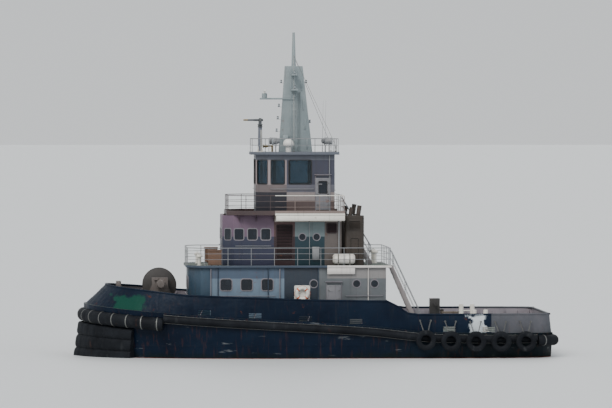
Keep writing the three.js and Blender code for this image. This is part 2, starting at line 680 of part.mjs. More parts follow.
function stair(top, bottom, halfWide, steps) {
  const [topX, topZ] = top;
  const [lowX, lowZ] = bottom;
  const stringer = (y0, y1) => panel([[topX, topZ - 260], [topX, topZ], [topX - 120, topZ],
    [lowX - 120, lowZ + 120], [lowX - 120, lowZ], [lowX + 120, lowZ]], y0, y1);
  const tread = (i) => {
    const share = (i + 0.5) / steps;
    const [x, z] = [topX + (lowX - topX) * share, topZ + (lowZ - topZ) * share];
    return box(x - 110, x + 130, -halfWide, halfWide, z - 40, z);
  };
  return join(stringer(-halfWide - 30, -halfWide + 20), stringer(halfWide - 20, halfWide + 30),
    ...Array.from({ length: steps }, (_, i) => tread(i)));
}
add('stair_bridge',
  stair([BRIDGE.aft - GAP, BRIDGE_DECK], [-3500, BOAT_DECK + GAP], 330, 10), WHITE);
add('stair_main', onDeck(stair([HOUSE.aft - 300 - GAP, BOAT_DECK], [-6100, 1440], 360, 13)
  .translate(0, 2300, 0)), WHITE);

// Foredeck: towing winch with its rope, and the staple that leads it over the bow

const WINCH = { x: 8400, z: 3950, flange: 950, core: 380, half: 850, cheek: 120 };
const cheekPanel = [[WINCH.x - 900, 2300], [WINCH.x + 900, 2300], [WINCH.x + 900, 2900],
  [WINCH.x + 330, 4250], [WINCH.x - 330, 4250], [WINCH.x - 900, 2900]];
const cheeks = SIDES.map(([, side]) => {
  const faces = [side * (WINCH.half + GAP), side * (WINCH.half + WINCH.cheek)].sort((a, b) => a - b);
  return panel(cheekPanel, ...faces);
});
const winchBed = box(WINCH.x - 900, WINCH.x + 900, -WINCH.half - WINCH.cheek,
  WINCH.half + WINCH.cheek, 2300, 2790);
const winchMotor = box(WINCH.x - 450, WINCH.x + 450, WINCH.half + WINCH.cheek - 10,
  WINCH.half + 620, 3300, 4400);
add('winch_frame', onDeck(join(...cheeks, winchBed, winchMotor)), STEEL);
const aroundY = (profile, segments) =>
  new THREE.LatheGeometry(profile.map(([r, y]) => new THREE.Vector2(r, y)), segments);
const flangeIn = WINCH.half - 60;
add('winch_drum', aroundY([[0, -WINCH.half], [WINCH.flange, -WINCH.half], [WINCH.flange, -flangeIn],
  [WINCH.core, -flangeIn], [WINCH.core, flangeIn], [WINCH.flange, flangeIn],
  [WINCH.flange, WINCH.half], [0, WINCH.half]], 32), STEEL).position.set(WINCH.x, 0, WINCH.z);
add('winch_rope', aroundY([[WINCH.core + GAP, -flangeIn + GAP], [760, -flangeIn + GAP],
  [760, flangeIn - GAP], [WINCH.core + GAP, flangeIn - GAP], [WINCH.core + GAP, -flangeIn + GAP]], 32),
GREEN).position.set(WINCH.x, 0, WINCH.z);

const STAPLE = { x: 10700, half: 620, top: 4150, radius: 140 };
add('bow_staple', onDeck(join(
  bar([STAPLE.x, -STAPLE.half, 2500], [STAPLE.x, -STAPLE.half, STAPLE.top], STAPLE.radius, 14),
  bar([STAPLE.x, STAPLE.half, 2500], [STAPLE.x, STAPLE.half, STAPLE.top], STAPLE.radius, 14),
  bar([STAPLE.x, -STAPLE.half - 260, 3950], [STAPLE.x, STAPLE.half + 260, 3950], STAPLE.radius, 14),
)), STEEL);

// Aft deck: towing post with its swinging hook, and the bollards

const POST = { x: -7200, deck: 1440, top: 3150, half: 280 };
const HOOK = { z: 2350, pin: -420, plate: 60 };
const lugAt = (z) => box(POST.x + HOOK.pin - 110, POST.x - POST.half + 20, -120, 120, z, z + HOOK.plate);
add('tow_post', onDeck(join(
  box(POST.x - POST.half, POST.x + POST.half, -POST.half, POST.half, 1200, POST.top),
  box(POST.x - 60, POST.x + 60, -620, 620, 2750, 2870),
  lugAt(HOOK.z - 110 - HOOK.plate), lugAt(HOOK.z + 110),
)), BLACK);
const hookBarrel = new THREE.CylinderGeometry(95, 95, 220 - 2 * GAP, 16).rotateX(Math.PI / 2);
// Plan outline of the hook: the arm's port edge, the bow of the hook, its tip, the throat
const hookArm = slab([[-60, 80], [-560, 80], [-700, 230], [-860, 200], [-950, 60], [-950, -80],
  [-860, -200], [-700, -230], [-640, -230], [-640, -120], [-700, -120], [-790, -90], [-820, 0],
  [-790, 90], [-700, 110], [-600, 10], [-560, -80], [-60, -80]], -55, 55);
add('tow_hook', join(hookBarrel, hookArm), STEEL).position.set(POST.x + HOOK.pin, 0, HOOK.z);

// Bollard pairs. Columns: name, x, y, height, radius
const BOLLARDS = [
  ['bollard_aft_port', -9400, 3850, 1250, 130, WHITE],
  ['bollard_aft_stbd', -9400, -3850, 1250, 130, WHITE],
  ['bollard_fore_port', 10250, 2350, 700, 140, BLACK],
  ['bollard_fore_stbd', 10250, -2350, 700, 140, BLACK],
];
for (const [name, x, y, height, radius, material] of BOLLARDS) {
  const deck = deckAt(x);
  const post = (dx) => bar([x + dx, y, deck - 200], [x + dx, y, deck + height], radius, 14);
  add(name, onDeck(join(post(-320), post(320),
    box(x - 520, x + 520, y - 190, y + 190, deck - 200, deck + 45))), material);
}

export default tug;
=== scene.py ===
import random
from math import atan, atan2, ceil, cos, hypot, pi, radians, sin

import bmesh
import bpy
from mathutils import Matrix, Vector


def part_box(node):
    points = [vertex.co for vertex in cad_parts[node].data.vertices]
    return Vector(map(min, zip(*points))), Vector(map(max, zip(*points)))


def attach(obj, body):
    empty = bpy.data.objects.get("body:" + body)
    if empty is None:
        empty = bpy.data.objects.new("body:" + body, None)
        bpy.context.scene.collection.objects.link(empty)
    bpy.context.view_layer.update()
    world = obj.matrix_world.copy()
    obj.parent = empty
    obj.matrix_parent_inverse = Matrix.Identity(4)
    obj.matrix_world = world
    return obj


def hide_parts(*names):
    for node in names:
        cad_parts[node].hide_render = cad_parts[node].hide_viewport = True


# Harbour tug afloat, in metres. +X is the bow, +Y port, +Z up, and the water lies at z = 0.

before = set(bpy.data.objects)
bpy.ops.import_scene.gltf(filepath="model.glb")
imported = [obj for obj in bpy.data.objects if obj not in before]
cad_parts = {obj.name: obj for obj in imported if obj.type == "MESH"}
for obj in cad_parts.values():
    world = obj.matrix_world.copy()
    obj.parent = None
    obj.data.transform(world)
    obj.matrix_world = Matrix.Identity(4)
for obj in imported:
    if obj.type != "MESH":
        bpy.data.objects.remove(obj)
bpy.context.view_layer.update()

# Floor, light and camera
# The floor lies at the waterline, so the hull stands in it as it does in water. The camera
# looks at the port side from a long way off, a little above the wheelhouse.

FLOOR_REACH = 3000
FLOOR_GREY = (0.62, 0.64, 0.65, 1)
CAMERA_PLACE = (14, 240, 12.8)
CAMERA_AIM = (0.1, 0, 8.5)
LENS = 250
CAMERA_REACH = 4000
SKY_TINT = (0.95, 0.98, 1, 1)
SKY_AT_HORIZON, SKY_OVERHEAD = 0.84, 0.68


def linked(name, data):
    """A new object in the scene, at the origin and unturned."""
    made = bpy.data.objects.new(name, data)
    bpy.context.scene.collection.objects.link(made)
    return made


def add_node(tree, kind, inputs=(), **settings):
    """A node with its settings, and with its inputs joined to sockets or set to values."""
    made = tree.nodes.new(kind)
    for key, value in settings.items():
        setattr(made, key, value)
    for key, value in dict(inputs).items():
        if isinstance(value, bpy.types.NodeSocket):
            tree.links.new(value, made.inputs[key])
        else:
            made.inputs[key].default_value = value
    return made


floor_mesh = bpy.data.meshes.new("floor")
floor_mesh.from_pydata([(x * FLOOR_REACH, y * FLOOR_REACH, 0) for x, y in (
    (-1, -1), (1, -1), (1, 1), (-1, 1))], [], [(0, 1, 2, 3)])
floor = linked("floor", floor_mesh)
floor_finish = bpy.data.materials.new("floor_finish")
floor_finish.use_nodes = True
floor_shader = floor_finish.node_tree.nodes["Principled BSDF"].inputs
floor_shader["Base Color"].default_value = FLOOR_GREY
floor_shader["Roughness"].default_value = 0.55
floor_mesh.materials.append(floor_finish)

sky = bpy.data.worlds.new("sky")
sky.use_nodes = True
sky_tree = sky.node_tree
heading = add_node(sky_tree, "ShaderNodeTexCoord").outputs["Generated"]
upward = add_node(sky_tree, "ShaderNodeSeparateXYZ", {0: heading}).outputs["Z"]
shade = add_node(sky_tree, "ShaderNodeMapRange", {
    "Value": upward, "To Min": SKY_AT_HORIZON, "To Max": SKY_OVERHEAD}).outputs["Result"]
background = sky_tree.nodes["Background"].inputs
background["Color"].default_value = SKY_TINT
sky_tree.links.new(shade, background["Strength"])
bpy.context.scene.world = sky

# Soft suns light the floor evenly. Columns: name, direction to it, strength, width, colour
SOFT_SUNS = [
    ("key_light", (0.45, 0.75, 0.85), 2.3, 24, (1, 0.97, 0.93)),
    ("fill_light", (-0.8, 0.6, 0.45), 0.5, 50, (0.88, 0.94, 1)),
    ("rim_light", (-0.2, -0.9, 0.7), 0.6, 40, (0.95, 0.97, 1)),
]
for light_name, toward, strength, width, tint in SOFT_SUNS:
    lamp = bpy.data.lights.new(light_name, "SUN")
    lamp.energy, lamp.angle, lamp.color = strength, radians(width), tint
    linked(light_name, lamp).rotation_euler = Vector(toward).to_track_quat("Z", "Y").to_euler()

camera_data = bpy.data.cameras.new("camera")
camera_data.lens, camera_data.clip_end = LENS, CAMERA_REACH
camera = linked("camera", camera_data)
camera.location = CAMERA_PLACE
camera.rotation_euler = (
    Vector(CAMERA_AIM) - Vector(CAMERA_PLACE)).to_track_quat("-Z", "Y").to_euler()
bpy.context.scene.camera = camera

# Hull
# Welded steel shell with its skeg and thruster seats, decked over. Topsides are navy black
# enamel, the bottom is red antifouling paint, and the deck has a rough green coating.


def linear(paint):
    """A colour as a painter reads it off a chart, red, green and blue from 0 to 255, for a node."""
    return (*((c / 255 / 12.92) if c <= 10 else ((c / 255 + 0.055) / 1.055) ** 2.4
              for c in paint), 1)


class Finish:
    """A procedural finish that reads the piece's own Object coordinates, in metres. Its paints
    are outputs of nodes, or colours off a painter's chart."""

    def __init__(self, name, roughness=0.5, metallic=0):
        self.material = bpy.data.materials.new(name)
        self.material.use_nodes = True
        self.tree = self.material.node_tree
        self.shader = self.tree.nodes["Principled BSDF"].inputs
        self.shader["Roughness"].default_value = roughness
        self.shader["Metallic"].default_value = metallic
        self.place = self.node("TexCoord").outputs["Object"]
        self.height = None

    def node(self, kind, inputs=(), **settings):
        return add_node(self.tree, "ShaderNode" + kind, inputs, **settings)

    def axis(self, letter):
        return self.node("SeparateXYZ", {0: self.place}).outputs[letter]

    def math(self, operation, a, b=0):
        return self.node("Math", {0: a, 1: b}, operation=operation).outputs[0]

    def ramp(self, value, low, high, to_low=0, to_high=1):
        return self.node("MapRange", {
            "Value": value, "From Min": low, "From Max": high,
            "To Min": to_low, "To Max": to_high}).outputs["Result"]

    def noise(self, scale, low=0.3, high=0.7, stretch=(1, 1, 1), detail=4, seed=0):
        mapped = self.node("Mapping", {
            "Vector": self.place, "Scale": stretch, "Location": (seed, seed * 0.7, seed * 1.3)})
        cloud = self.node("TexNoise", {
            "Vector": mapped.outputs[0], "Scale": scale, "Detail": detail, "Roughness": 0.6})
        return self.ramp(cloud.outputs["Fac"], low, high)

    def mix(self, share, under, over):
        under, over = (paint if isinstance(paint, bpy.types.NodeSocket) else linear(paint)
                       for paint in (under, over))
        return self.node("Mix", {0: share, 6: under, 7: over}, data_type="RGBA").outputs[2]

    def laid(self, body, cloud, share, paint):
        """The body with a share of another paint over it where a cloud is thick."""
        return self.mix(self.math("MULTIPLY", cloud, share), body, paint)

    def colour(self, value):
        self.tree.links.new(value, self.shader["Base Color"])
        return self

    def clouded(self, scale, under, over, **more):
        """Two paints in clouds over each other."""
        return self.colour(self.mix(self.noise(scale, **more), under, over))

    def rough(self, value, low, high):
        self.tree.links.new(self.ramp(value, 0, 1, low, high), self.shader["Roughness"])
        return self

    def set(self, socket, value):
        self.shader[socket].default_value = value
        return self

    def bump(self, value, depth):
        made = self.node("Bump", {"Height": value, "Distance": depth})
        if self.height is not None:
            self.tree.links.new(self.height, made.inputs["Normal"])
        self.height = made.outputs["Normal"]
        self.tree.links.new(self.height, self.shader["Normal"])
        return self


RUST, GRIME, SALT = (104, 58, 34), (58, 52, 46), (168, 172, 172)
PAINT_LINE = 0.006             # half the width over which one paint gives way to the next


def weathered(name, paint, worn, rust=0.35, runs=0.5, gloss=0.42, dents=0, seed=0, zones=()):
    """Enamel on steel plate: cloudy fading, vertical dirt runs, rust spots and faint brush marks.

    A zone has another paint, fresh and worn, inside bounds of an axis and two places on it."""
    finish = Finish(name)
    for other, other_worn, *bounds in zones:
        share = finish.math("ADD", 1)
        for letter, start, end in bounds:
            place = finish.axis(letter)
            for clear, full in ((start - PAINT_LINE, start + PAINT_LINE),
                                (end + PAINT_LINE, end - PAINT_LINE)):
                share = finish.math("MULTIPLY", share, finish.ramp(place, clear, full))
        paint, worn = finish.mix(share, paint, other), finish.mix(share, worn, other_worn)
    body = finish.mix(finish.noise(0.55, 0.3, 0.72, seed=seed, detail=6), paint, worn)
    fine = finish.noise(7, 0.35, 0.7, seed=seed + 3)
    body = finish.laid(body, fine, 0.25, worn)
    run = finish.noise(2.6, 0.56, 0.78, (2.4, 2.4, 0.16), 5, seed + 7)
    body = finish.laid(body, run, runs, GRIME)
    spot = finish.noise(1.9, 0.66, 0.71, seed=seed + 11, detail=9)
    bleed = finish.noise(4.2, 0.6, 0.82, (2, 2, 0.12), 6, seed + 17)
    stain = finish.math("MAXIMUM", spot, finish.math("MULTIPLY", bleed, 0.6))
    finish.colour(finish.laid(body, stain, rust, RUST))
    finish.rough(finish.math("MAXIMUM", stain, finish.math("MULTIPLY", fine, 0.5)),
                 gloss, min(gloss + 0.35, 0.95))
    finish.bump(finish.noise(60, 0.2, 0.8, seed=seed), 0.0015)
    if dents:
        finish.bump(finish.noise(1.15, 0.2, 0.85, (1, 1, 1.5), 2, seed + 23), dents)
    return finish


NAVY_BLACK, NAVY_WORN, WEED_BLACK = (3, 13, 30), (11, 28, 46), (14, 24, 20)
ANTIFOULING, ANTIFOULING_WORN = (112, 40, 32), (134, 66, 50)
HULL_SHEEN = 0.12
PLATE_LONG, PLATE_HIGH, WELD_WIDE = 5.4, 1.45, 0.018
WHITE, BLACK = (1, 1, 1, 1), (0, 0, 0, 1)


def topsides_finish():
    """Navy black above a weedy waterline, with plate seams, scuffs and red bottom paint below."""
    finish = Finish("hull_enamel").set("Specular IOR Level", HULL_SHEEN)
    height, along = finish.axis("Z"), finish.axis("X")
    body = finish.mix(finish.noise(0.35, 0.32, 0.7, detail=6), NAVY_BLACK, NAVY_WORN)
    aft = finish.ramp(finish.math("ADD", along, finish.noise(0.6, 0, 1, seed=5)), -2, -9)
    body = finish.laid(body, aft, 0.55, WEED_BLACK)
    scuff = finish.noise(2.2, 0.63, 0.7, (0.35, 1, 2.2), 8, 9)
    body = finish.laid(body, scuff, 0.25, SALT)
    body = finish.laid(body, finish.noise(3, 0.55, 0.8, (1.9, 1.9, 0.12), 6, 13), 0.35, RUST)
    weed_line = finish.math("ADD", height, finish.noise(1.6, -0.1, 0.9, detail=8, seed=21))
    weed = finish.ramp(weed_line, 0.95, 0.55)
    body = finish.laid(body, weed, 0.8, WEED_BLACK)
    bottom = finish.mix(finish.noise(0.9, seed=31), ANTIFOULING, ANTIFOULING_WORN)
    slime = finish.noise(1.4, 0.5, 0.75, (1, 1, 0.4), 7, 37)
    bottom = finish.laid(bottom, slime, 0.6, WEED_BLACK)
    finish.colour(finish.mix(finish.ramp(height, 0.04, 0), body, bottom))
    finish.rough(finish.math("MAXIMUM", scuff, weed), 0.38, 0.75)
    plates = finish.node("CombineXYZ", {"X": along, "Y": finish.math("ADD", height, 8)})
    seams = finish.node("TexBrick", {
        "Vector": plates.outputs[0], "Scale": 1, "Mortar Size": WELD_WIDE, "Mortar Smooth": 0.8,
        "Brick Width": PLATE_LONG, "Row Height": PLATE_HIGH, "Color1": WHITE, "Color2": WHITE,
        "Mortar": BLACK})
    finish.bump(seams.outputs["Fac"], 0.012)
    finish.bump(finish.noise(0.85, 0.2, 0.85, (1.5, 1, 1.1), 2, 41), 0.05)
    return finish.bump(finish.noise(45, 0.2, 0.8), 0.002)


def deck_coat():
    """Rough green-grey deck paint, scraped by wires down to primer and rust."""
    finish = Finish("deck_coat")
    body = finish.mix(finish.noise(0.7, detail=7), (70, 84, 78), (92, 98, 92))
    body = finish.laid(body, finish.noise(1.3, 0.62, 0.68, (0.5, 2.6, 1), 9, 4), 0.6, RUST)
    damp = finish.noise(0.45, 0.52, 0.7, detail=3, seed=8)
    finish.colour(finish.laid(body, damp, 0.4, GRIME))
    finish.rough(damp, 0.85, 0.55)
    return finish.bump(finish.noise(55, 0.35, 0.65, detail=2), 0.006)


def set_apart(made, finishes, slot, body, replaces=(), smooth=34):
    """Gives a finished mesh its materials and soft shading, and hands it to its body."""
    for finish in finishes:
        made.data.materials.append(finish.material)
    made.data.shade_smooth()
    made.data.set_sharp_from_angle(angle=radians(smooth))
    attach(made, body)
    if replaces:
        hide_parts(*replaces)
    return made


CAD_WELD = 4e-4                # corners of a CAD node this close are one


def dressed(node, ending, finishes, slot, edge=0.012, body="root", flat=0.3, soft=40, smooth=34):
    """A copy of a CAD node's solid that takes its place, with its triangles merged, its sharp
    edges rounded and its finishes on."""
    shell = bmesh.new()
    shell.from_mesh(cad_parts[node].data)
    bmesh.ops.remove_doubles(shell, verts=shell.verts, dist=CAD_WELD)
    bmesh.ops.dissolve_limit(shell, angle_limit=radians(flat), verts=shell.verts,
                             edges=shell.edges, delimit={"NORMAL"})
    if edge:
        sharp = [e for e in shell.edges
                 if len(e.link_faces) == 2 and e.calc_face_angle() > radians(soft)]
        bmesh.ops.bevel(shell, geom=sharp, offset=edge, segments=2, profile=0.6,
                        affect="EDGES", clamp_overlap=True)
    bmesh.ops.triangulate(shell, faces=[f for f in shell.faces if len(f.verts) > 4])
    mesh = bpy.data.meshes.new(node + "_shell")
    shell.to_mesh(mesh)
    shell.free()
    return set_apart(linked(node + ending, mesh), finishes, slot, body, [node], smooth)


HULL_FINISH = topsides_finish()
DECK_FINISH = deck_coat()
DECK_LEVEL, DECK_LOW = 0.96, 1.2    # a face this level, and above this height, is deck
hull = dressed("hull", "_shell", [HULL_FINISH, DECK_FINISH], "hull_paint", 0.02,
               flat=0.1, soft=50, smooth=28)
for face in hull.data.polygons:
    face.material_index = int(face.normal.z > DECK_LEVEL and face.center.z > DECK_LOW)

# Bulwarks
# Steel plate standing on the deck edge, leaning inboard, with a round cap rail on its top, a
# bracket behind it every frame, and rims round the fairleads. Outside it has the hull's navy
# black, with a grey stern and two patches of other paint. Inside it is pale grey.

# Columns: x, half breadth at deck, half breadth at waterline, deck height
STATIONS = [
    (-13.45, 4.15, 3.3, 1.4), (-12.8, 4.65, 4.15, 1.4), (-10.5, 4.93, 4.6, 1.4),
    (-7.00, 5.00, 4.8, 1.45), (-3.00, 5.00, 4.85, 1.83), (2.00, 5.00, 4.85, 2.13),
    (6.00, 4.85, 4.5, 2.37), (9.00, 4.35, 3.7, 2.6), (10.85, 3.47, 2.65, 2.76),
    (11.85, 2.48, 1.65, 2.86), (12.4, 1.52, 0.72, 2.92), (12.58, 0.96, 0.39, 2.94),
    (12.66, 0.42, 0.15, 2.95),
]
# Columns: x, top of the bulwark, how far it leans inboard there
BULWARK_TOP = [
    (-13.45, 2.42, 0.12), (-5.4, 2.42, 0.06), (-4.3, 3.16, 0.06), (0, 3.22, 0.08),
    (7, 3.48, 0.18), (10, 3.78, 0.56), (12.6, 3.97, 1.15),
]
STERN_X, STEM_X = STATIONS[0][0], STATIONS[-1][0]
LINE_SPACING = 0.62
BULWARK_INSET = BULWARK_THICK = 0.07
BULWARK_MIDDLE, BULWARK_FACE = BULWARK_INSET + BULWARK_THICK / 2, -BULWARK_THICK / 2
BULWARK_SUNK = 0.06                # how far its foot reaches under the deck line
BRACKET_STEP, BRACKET_PLATE = 0.74, 0.012
CAP_RADIUS = 0.062
WELD, POLE = 2e-4, 5e-5            # points this close are one; radius of a turned shape's pole
UP = Vector((0, 0, 1))
SIDES = ((1, "port"), (-1, "stbd"))


def slope_at(table, i, column):
    """How steeply a faired column runs at a row: level at a peak, else the harmonic mean."""
    if i in (0, len(table) - 1):
        return None
    before, after = [(table[b][column] - table[a][column]) / (table[b][0] - table[a][0])
                     for a, b in ((i - 1, i), (i, i + 1))]
    return 0 if before * after <= 0 else 2 * before * after / (before + after)


def faired(table, spacing):
    """The rows of a table with rows between them, on a smooth curve through the given ones."""
    rows = []
    for i, (row, after) in enumerate(zip(table, table[1:])):
        run = after[0] - row[0]
        count = ceil(hypot(run, after[1] - row[1]) / spacing)
        for t in (j / count for j in range(count)):
            made = [row[0] + run * t]
            for k in range(1, len(row)):
                chord = (after[k] - row[k]) / run
                start, end = (chord if slope is None else slope for slope in (
                    slope_at(table, i, k), slope_at(table, i + 1, k)))
                made.append(row[k] + run * t * (
                    start * (1 - t) ** 2 + chord * t * (3 - 2 * t) - end * t * (1 - t)))
            rows.append(made)
    return rows + [list(table[-1])]


HULL_LINES = faired(STATIONS, LINE_SPACING)


def read(table, x, column):
    """A column of a table at x, in proportion between its rows."""
    if x <= table[0][0]:
        return table[0][column]
    for low, high in zip(table, table[1:]):
        if x <= high[0]:
            return low[column] + (high[column] - low[column]) * (x - low[0]) / (high[0] - low[0])
    return table[-1][column]


def deck_at(x):
    return read(HULL_LINES, x, 3)


def side_edge(start, end, side):
    """The deck edge on one side, from x to x, as points in plan."""
    inner = [row[0] for row in HULL_LINES if start < row[0] < end]
    return [Vector((x, side * read(HULL_LINES, x, 1), 0)) for x in [start, *inner, end]]


def carried_round(port):
    """A line in plan on the port side, carried on round the end of the hull to starboard."""
    return port + [Vector((p.x, -p.y, 0)) for p in reversed(port)]


def bow_edge(start):
    return carried_round(side_edge(start, STEM_X, 1))


def stern_edge(end):
    return carried_round(side_edge(STERN_X, end, 1)[::-1])


def outward(edge):
    """Outward directions in plan along an edge, each the mean of its two sides."""
    found = []
    for i, point in enumerate(edge):
        run = edge[min(i + 1, len(edge) - 1)] - edge[max(i - 1, 0)]
        across = Vector((-run.y, run.x, 0)).normalized()
        found.append(across if across.dot(point) > 0 else -across)
    return found


def beside(edge, out, height):
    """A line that follows an edge at a distance outboard and a height, each given for x."""
    return [Vector((p.x + n.x * out(p.x), p.y + n.y * out(p.x), height(p.x)))
            for p, n in zip(edge, outward(edge))]


def evened(points, step):
    """The same line with its points at even steps."""
    points, lengths = [Vector(p) for p in points], [0]
    for a, b in zip(points, points[1:]):
        lengths.append(lengths[-1] + (b - a).length)
    count = max(1, round(lengths[-1] / step))
    found, k = [], 0
    for i in range(count + 1):
        goal = lengths[-1] * i / count
        while k < len(points) - 2 and lengths[k + 1] < goal:
            k += 1
        share = (goal - lengths[k]) / max(lengths[k + 1] - lengths[k], 1e-9)
        found.append(points[k].lerp(points[k + 1], min(max(share, 0), 1)))
    return found


def circle(middle, radius, count, axis="Z", turn=0):
    """Points at even steps round a circle, from an angle in degrees on."""
    middle, found = Vector(middle), []
    for t in (radians(turn) + 2 * pi * k / count for k in range(count)):
        a, b = radius * cos(t), radius * sin(t)
        found.append(middle + Vector({"X": (0, a, b), "Y": (a, 0, b), "Z": (a, b, 0)}[axis]))
    return found


def ordered(low, high):
    """The lowest and the highest corner of a box, from any two opposite ones."""
    return (Vector([pick(pair) for pair in zip(low, high)]) for pick in (min, max))


class Shape:
    """The faces of one piece, gathered part by part. Each part may take another finish."""

    def __init__(self):
        self.verts, self.faces, self.marks = [], [], []

    def add(self, verts, faces, mark=0):
        start = len(self.verts)
        self.verts += [tuple(v) for v in verts]
        self.faces += [[start + i for i in face] for face in faces]
        self.marks += [mark] * len(faces)
        return self

    def skin(self, rings, mark=0, looped=False):
        """Faces between closed rings of equal length, with flat ends or round in a loop."""
        count, last = len(rings[0]), (len(rings) - 1) * len(rings[0])
        starts = [i * count for i in range(len(rings))]
        pairs = list(zip(starts, starts[1:])) + ([(last, 0)] if looped else [])
        faces = [[a + i, a + (i + 1) % count, b + (i + 1) % count, b + i]
                 for a, b in pairs for i in range(count)]
        if not looped:
            faces += [list(range(count)), [last + i for i in range(count)]]
        return self.add([v for ring in rings for v in ring], faces, mark)

    def rod(self, points, radius, sides=8, mark=0, looped=False):
        """A round bar or tube along a line. The radius may be one number or one for each point."""
        points = [Vector(p) for p in points]
        radii = radius if isinstance(radius, list) else [radius] * len(points)
        last, rings, up = len(points) - 1, [], None
        for i, point in enumerate(points):
            before = points[i - 1] if i or looped else point
            after = points[(i + 1) % len(points)] if i < last or looped else point
            run = (after - before).normalized()
            up = run.orthogonal() if up is None else up
            up = (up - run * up.dot(run)).normalized()
            side = run.cross(up)
            rings.append([point + (up * cos(t) + side * sin(t)) * radii[i]
                          for t in (2 * pi * k / sides for k in range(sides))])
        return self.skin(rings, mark, looped)

    def block(self, low, high, edge=0, mark=0):
        """A box between two corners, given either way round, with chamfered edges."""
        low, high = ordered(low, high)
        edge = min(edge, *((high - low) * 0.49))
        solid = bmesh.new()
        for ends in ((x, y, z) for x in (0, 1) for y in (0, 1) for z in (0, 1)):
            corner = Vector([(low, high)[end][k] for k, end in enumerate(ends)])
            for k in range(3 if edge else 1):
                moved = corner + Vector([1 - 2 * end for end in ends]) * edge
                moved[k] = corner[k]
                solid.verts.new(moved)
        bmesh.ops.convex_hull(solid, input=solid.verts)
        bmesh.ops.dissolve_limit(solid, angle_limit=0.01, verts=solid.verts, edges=solid.edges)
        solid.verts.index_update()
        faces = [[v.index for v in f.verts] for f in solid.faces]
        self.add([v.co for v in solid.verts], faces, mark)
        solid.free()
        return self

    def turned(self, profile, origin, axis="Z", steps=24, mark=0, looped=False):
        """A turned solid. The profile is pairs of radius and distance along the axis."""
        count, roll, verts = len(profile), "ZXY".index(axis), []
        for t in (2 * pi * i / steps for i in range(steps)):
            for radius, along in profile:
                radius = max(radius, POLE)
                spot = (radius * cos(t), radius * sin(t), along)
                verts.append(Vector(origin) + Vector(spot[3 - roll:] + spot[:3 - roll]))
        faces = [[i * count + k, i * count + (k + 1) % count,
                  (i + 1) % steps * count + (k + 1) % count, (i + 1) % steps * count + k]
                 for i in range(steps) for k in range(count if looped else count - 1)]
        if not looped:
            faces += [[i * count + k for i in range(steps)] for k in (0, count - 1)]
        return self.add(verts, faces, mark)

    def prism(self, outline, along, mark=0):
        """A flat outline in space, carried along a vector."""
        outline = [Vector(p) for p in outline]
        return self.skin([outline, [p + Vector(along) for p in outline]], mark)

    def mesh(self, name):
        solid = bmesh.new()
        made = [solid.verts.new(v) for v in self.verts]
        for face, mark in zip(self.faces, self.marks):
            if len({tuple(round(c, 6) for c in self.verts[i]) for i in face}) > 2:
                solid.faces.new([made[i] for i in face]).material_index = mark
        bmesh.ops.remove_doubles(solid, verts=solid.verts, dist=WELD)
        bmesh.ops.recalc_face_normals(solid, faces=solid.faces)
        mesh = bpy.data.meshes.new(name)
        solid.to_mesh(mesh)
        solid.free()
        return mesh

    def piece(self, name, finishes, slot, body="root", replaces=(), smooth=34):
        return set_apart(linked(name, self.mesh(name)), finishes, slot, body, replaces, smooth)


def row_tree(upright, twist):
    """Geometry nodes that set one unit at even steps along a path and give it its finish. An
    upright unit only turns about Z. With a twist every other unit lies a quarter turn over."""
    tree = bpy.data.node_groups.new("row_along_path", "GeometryNodeTree")
    for label, kind in (("Path", "Geometry"), ("Count", "Int"), ("Unit", "Object"),
                        ("Finish", "Material")):
        tree.interface.new_socket(label, in_out="INPUT", socket_type="NodeSocket" + kind)
    tree.interface.new_socket("Row", in_out="OUTPUT", socket_type="NodeSocketGeometry")

    def node(kind, inputs=(), **settings):
        return add_node(tree, kind, inputs, **settings).outputs

    given = node("NodeGroupInput")
    curve = node("GeometryNodeMeshToCurve", {"Mesh": given["Path"]})[0]
    points = node("GeometryNodeCurveToPoints", {"Curve": curve, "Count": given["Count"]},
                  mode="COUNT")
    rotation = node("FunctionNodeAlignRotationToVector", {"Vector": points["Tangent"]}, axis="X",
                    pivot_axis="Z" if upright else "AUTO")[0]
    if twist:
        index = node("GeometryNodeInputIndex")[0]
        odd = node("ShaderNodeMath", {0: index, 1: 2}, operation="MODULO")
        quarter = node("ShaderNodeMath", {0: odd[0], 1: pi / 2}, operation="MULTIPLY")
        spin = node("FunctionNodeAxisAngleToRotation", {"Axis": (1, 0, 0), "Angle": quarter[0]})
        rotation = node("FunctionNodeRotateRotation", {"Rotation": rotation, "Rotate By": spin[0]},
                        rotation_space="LOCAL")[0]
    unit = node("GeometryNodeObjectInfo", {"Object": given["Unit"]})["Geometry"]
    rows = node("GeometryNodeInstanceOnPoints", {
        "Points": points["Points"], "Instance": unit, "Rotation": rotation})
    real = node("GeometryNodeRealizeInstances", {"Geometry": rows[0]})
    done = node("GeometryNodeSetMaterial", {"Geometry": real[0], "Material": given["Finish"]})
    tree.links.new(done[0], tree.nodes.new("NodeGroupOutput").inputs[0])
    return tree


ROW_TREES = {}


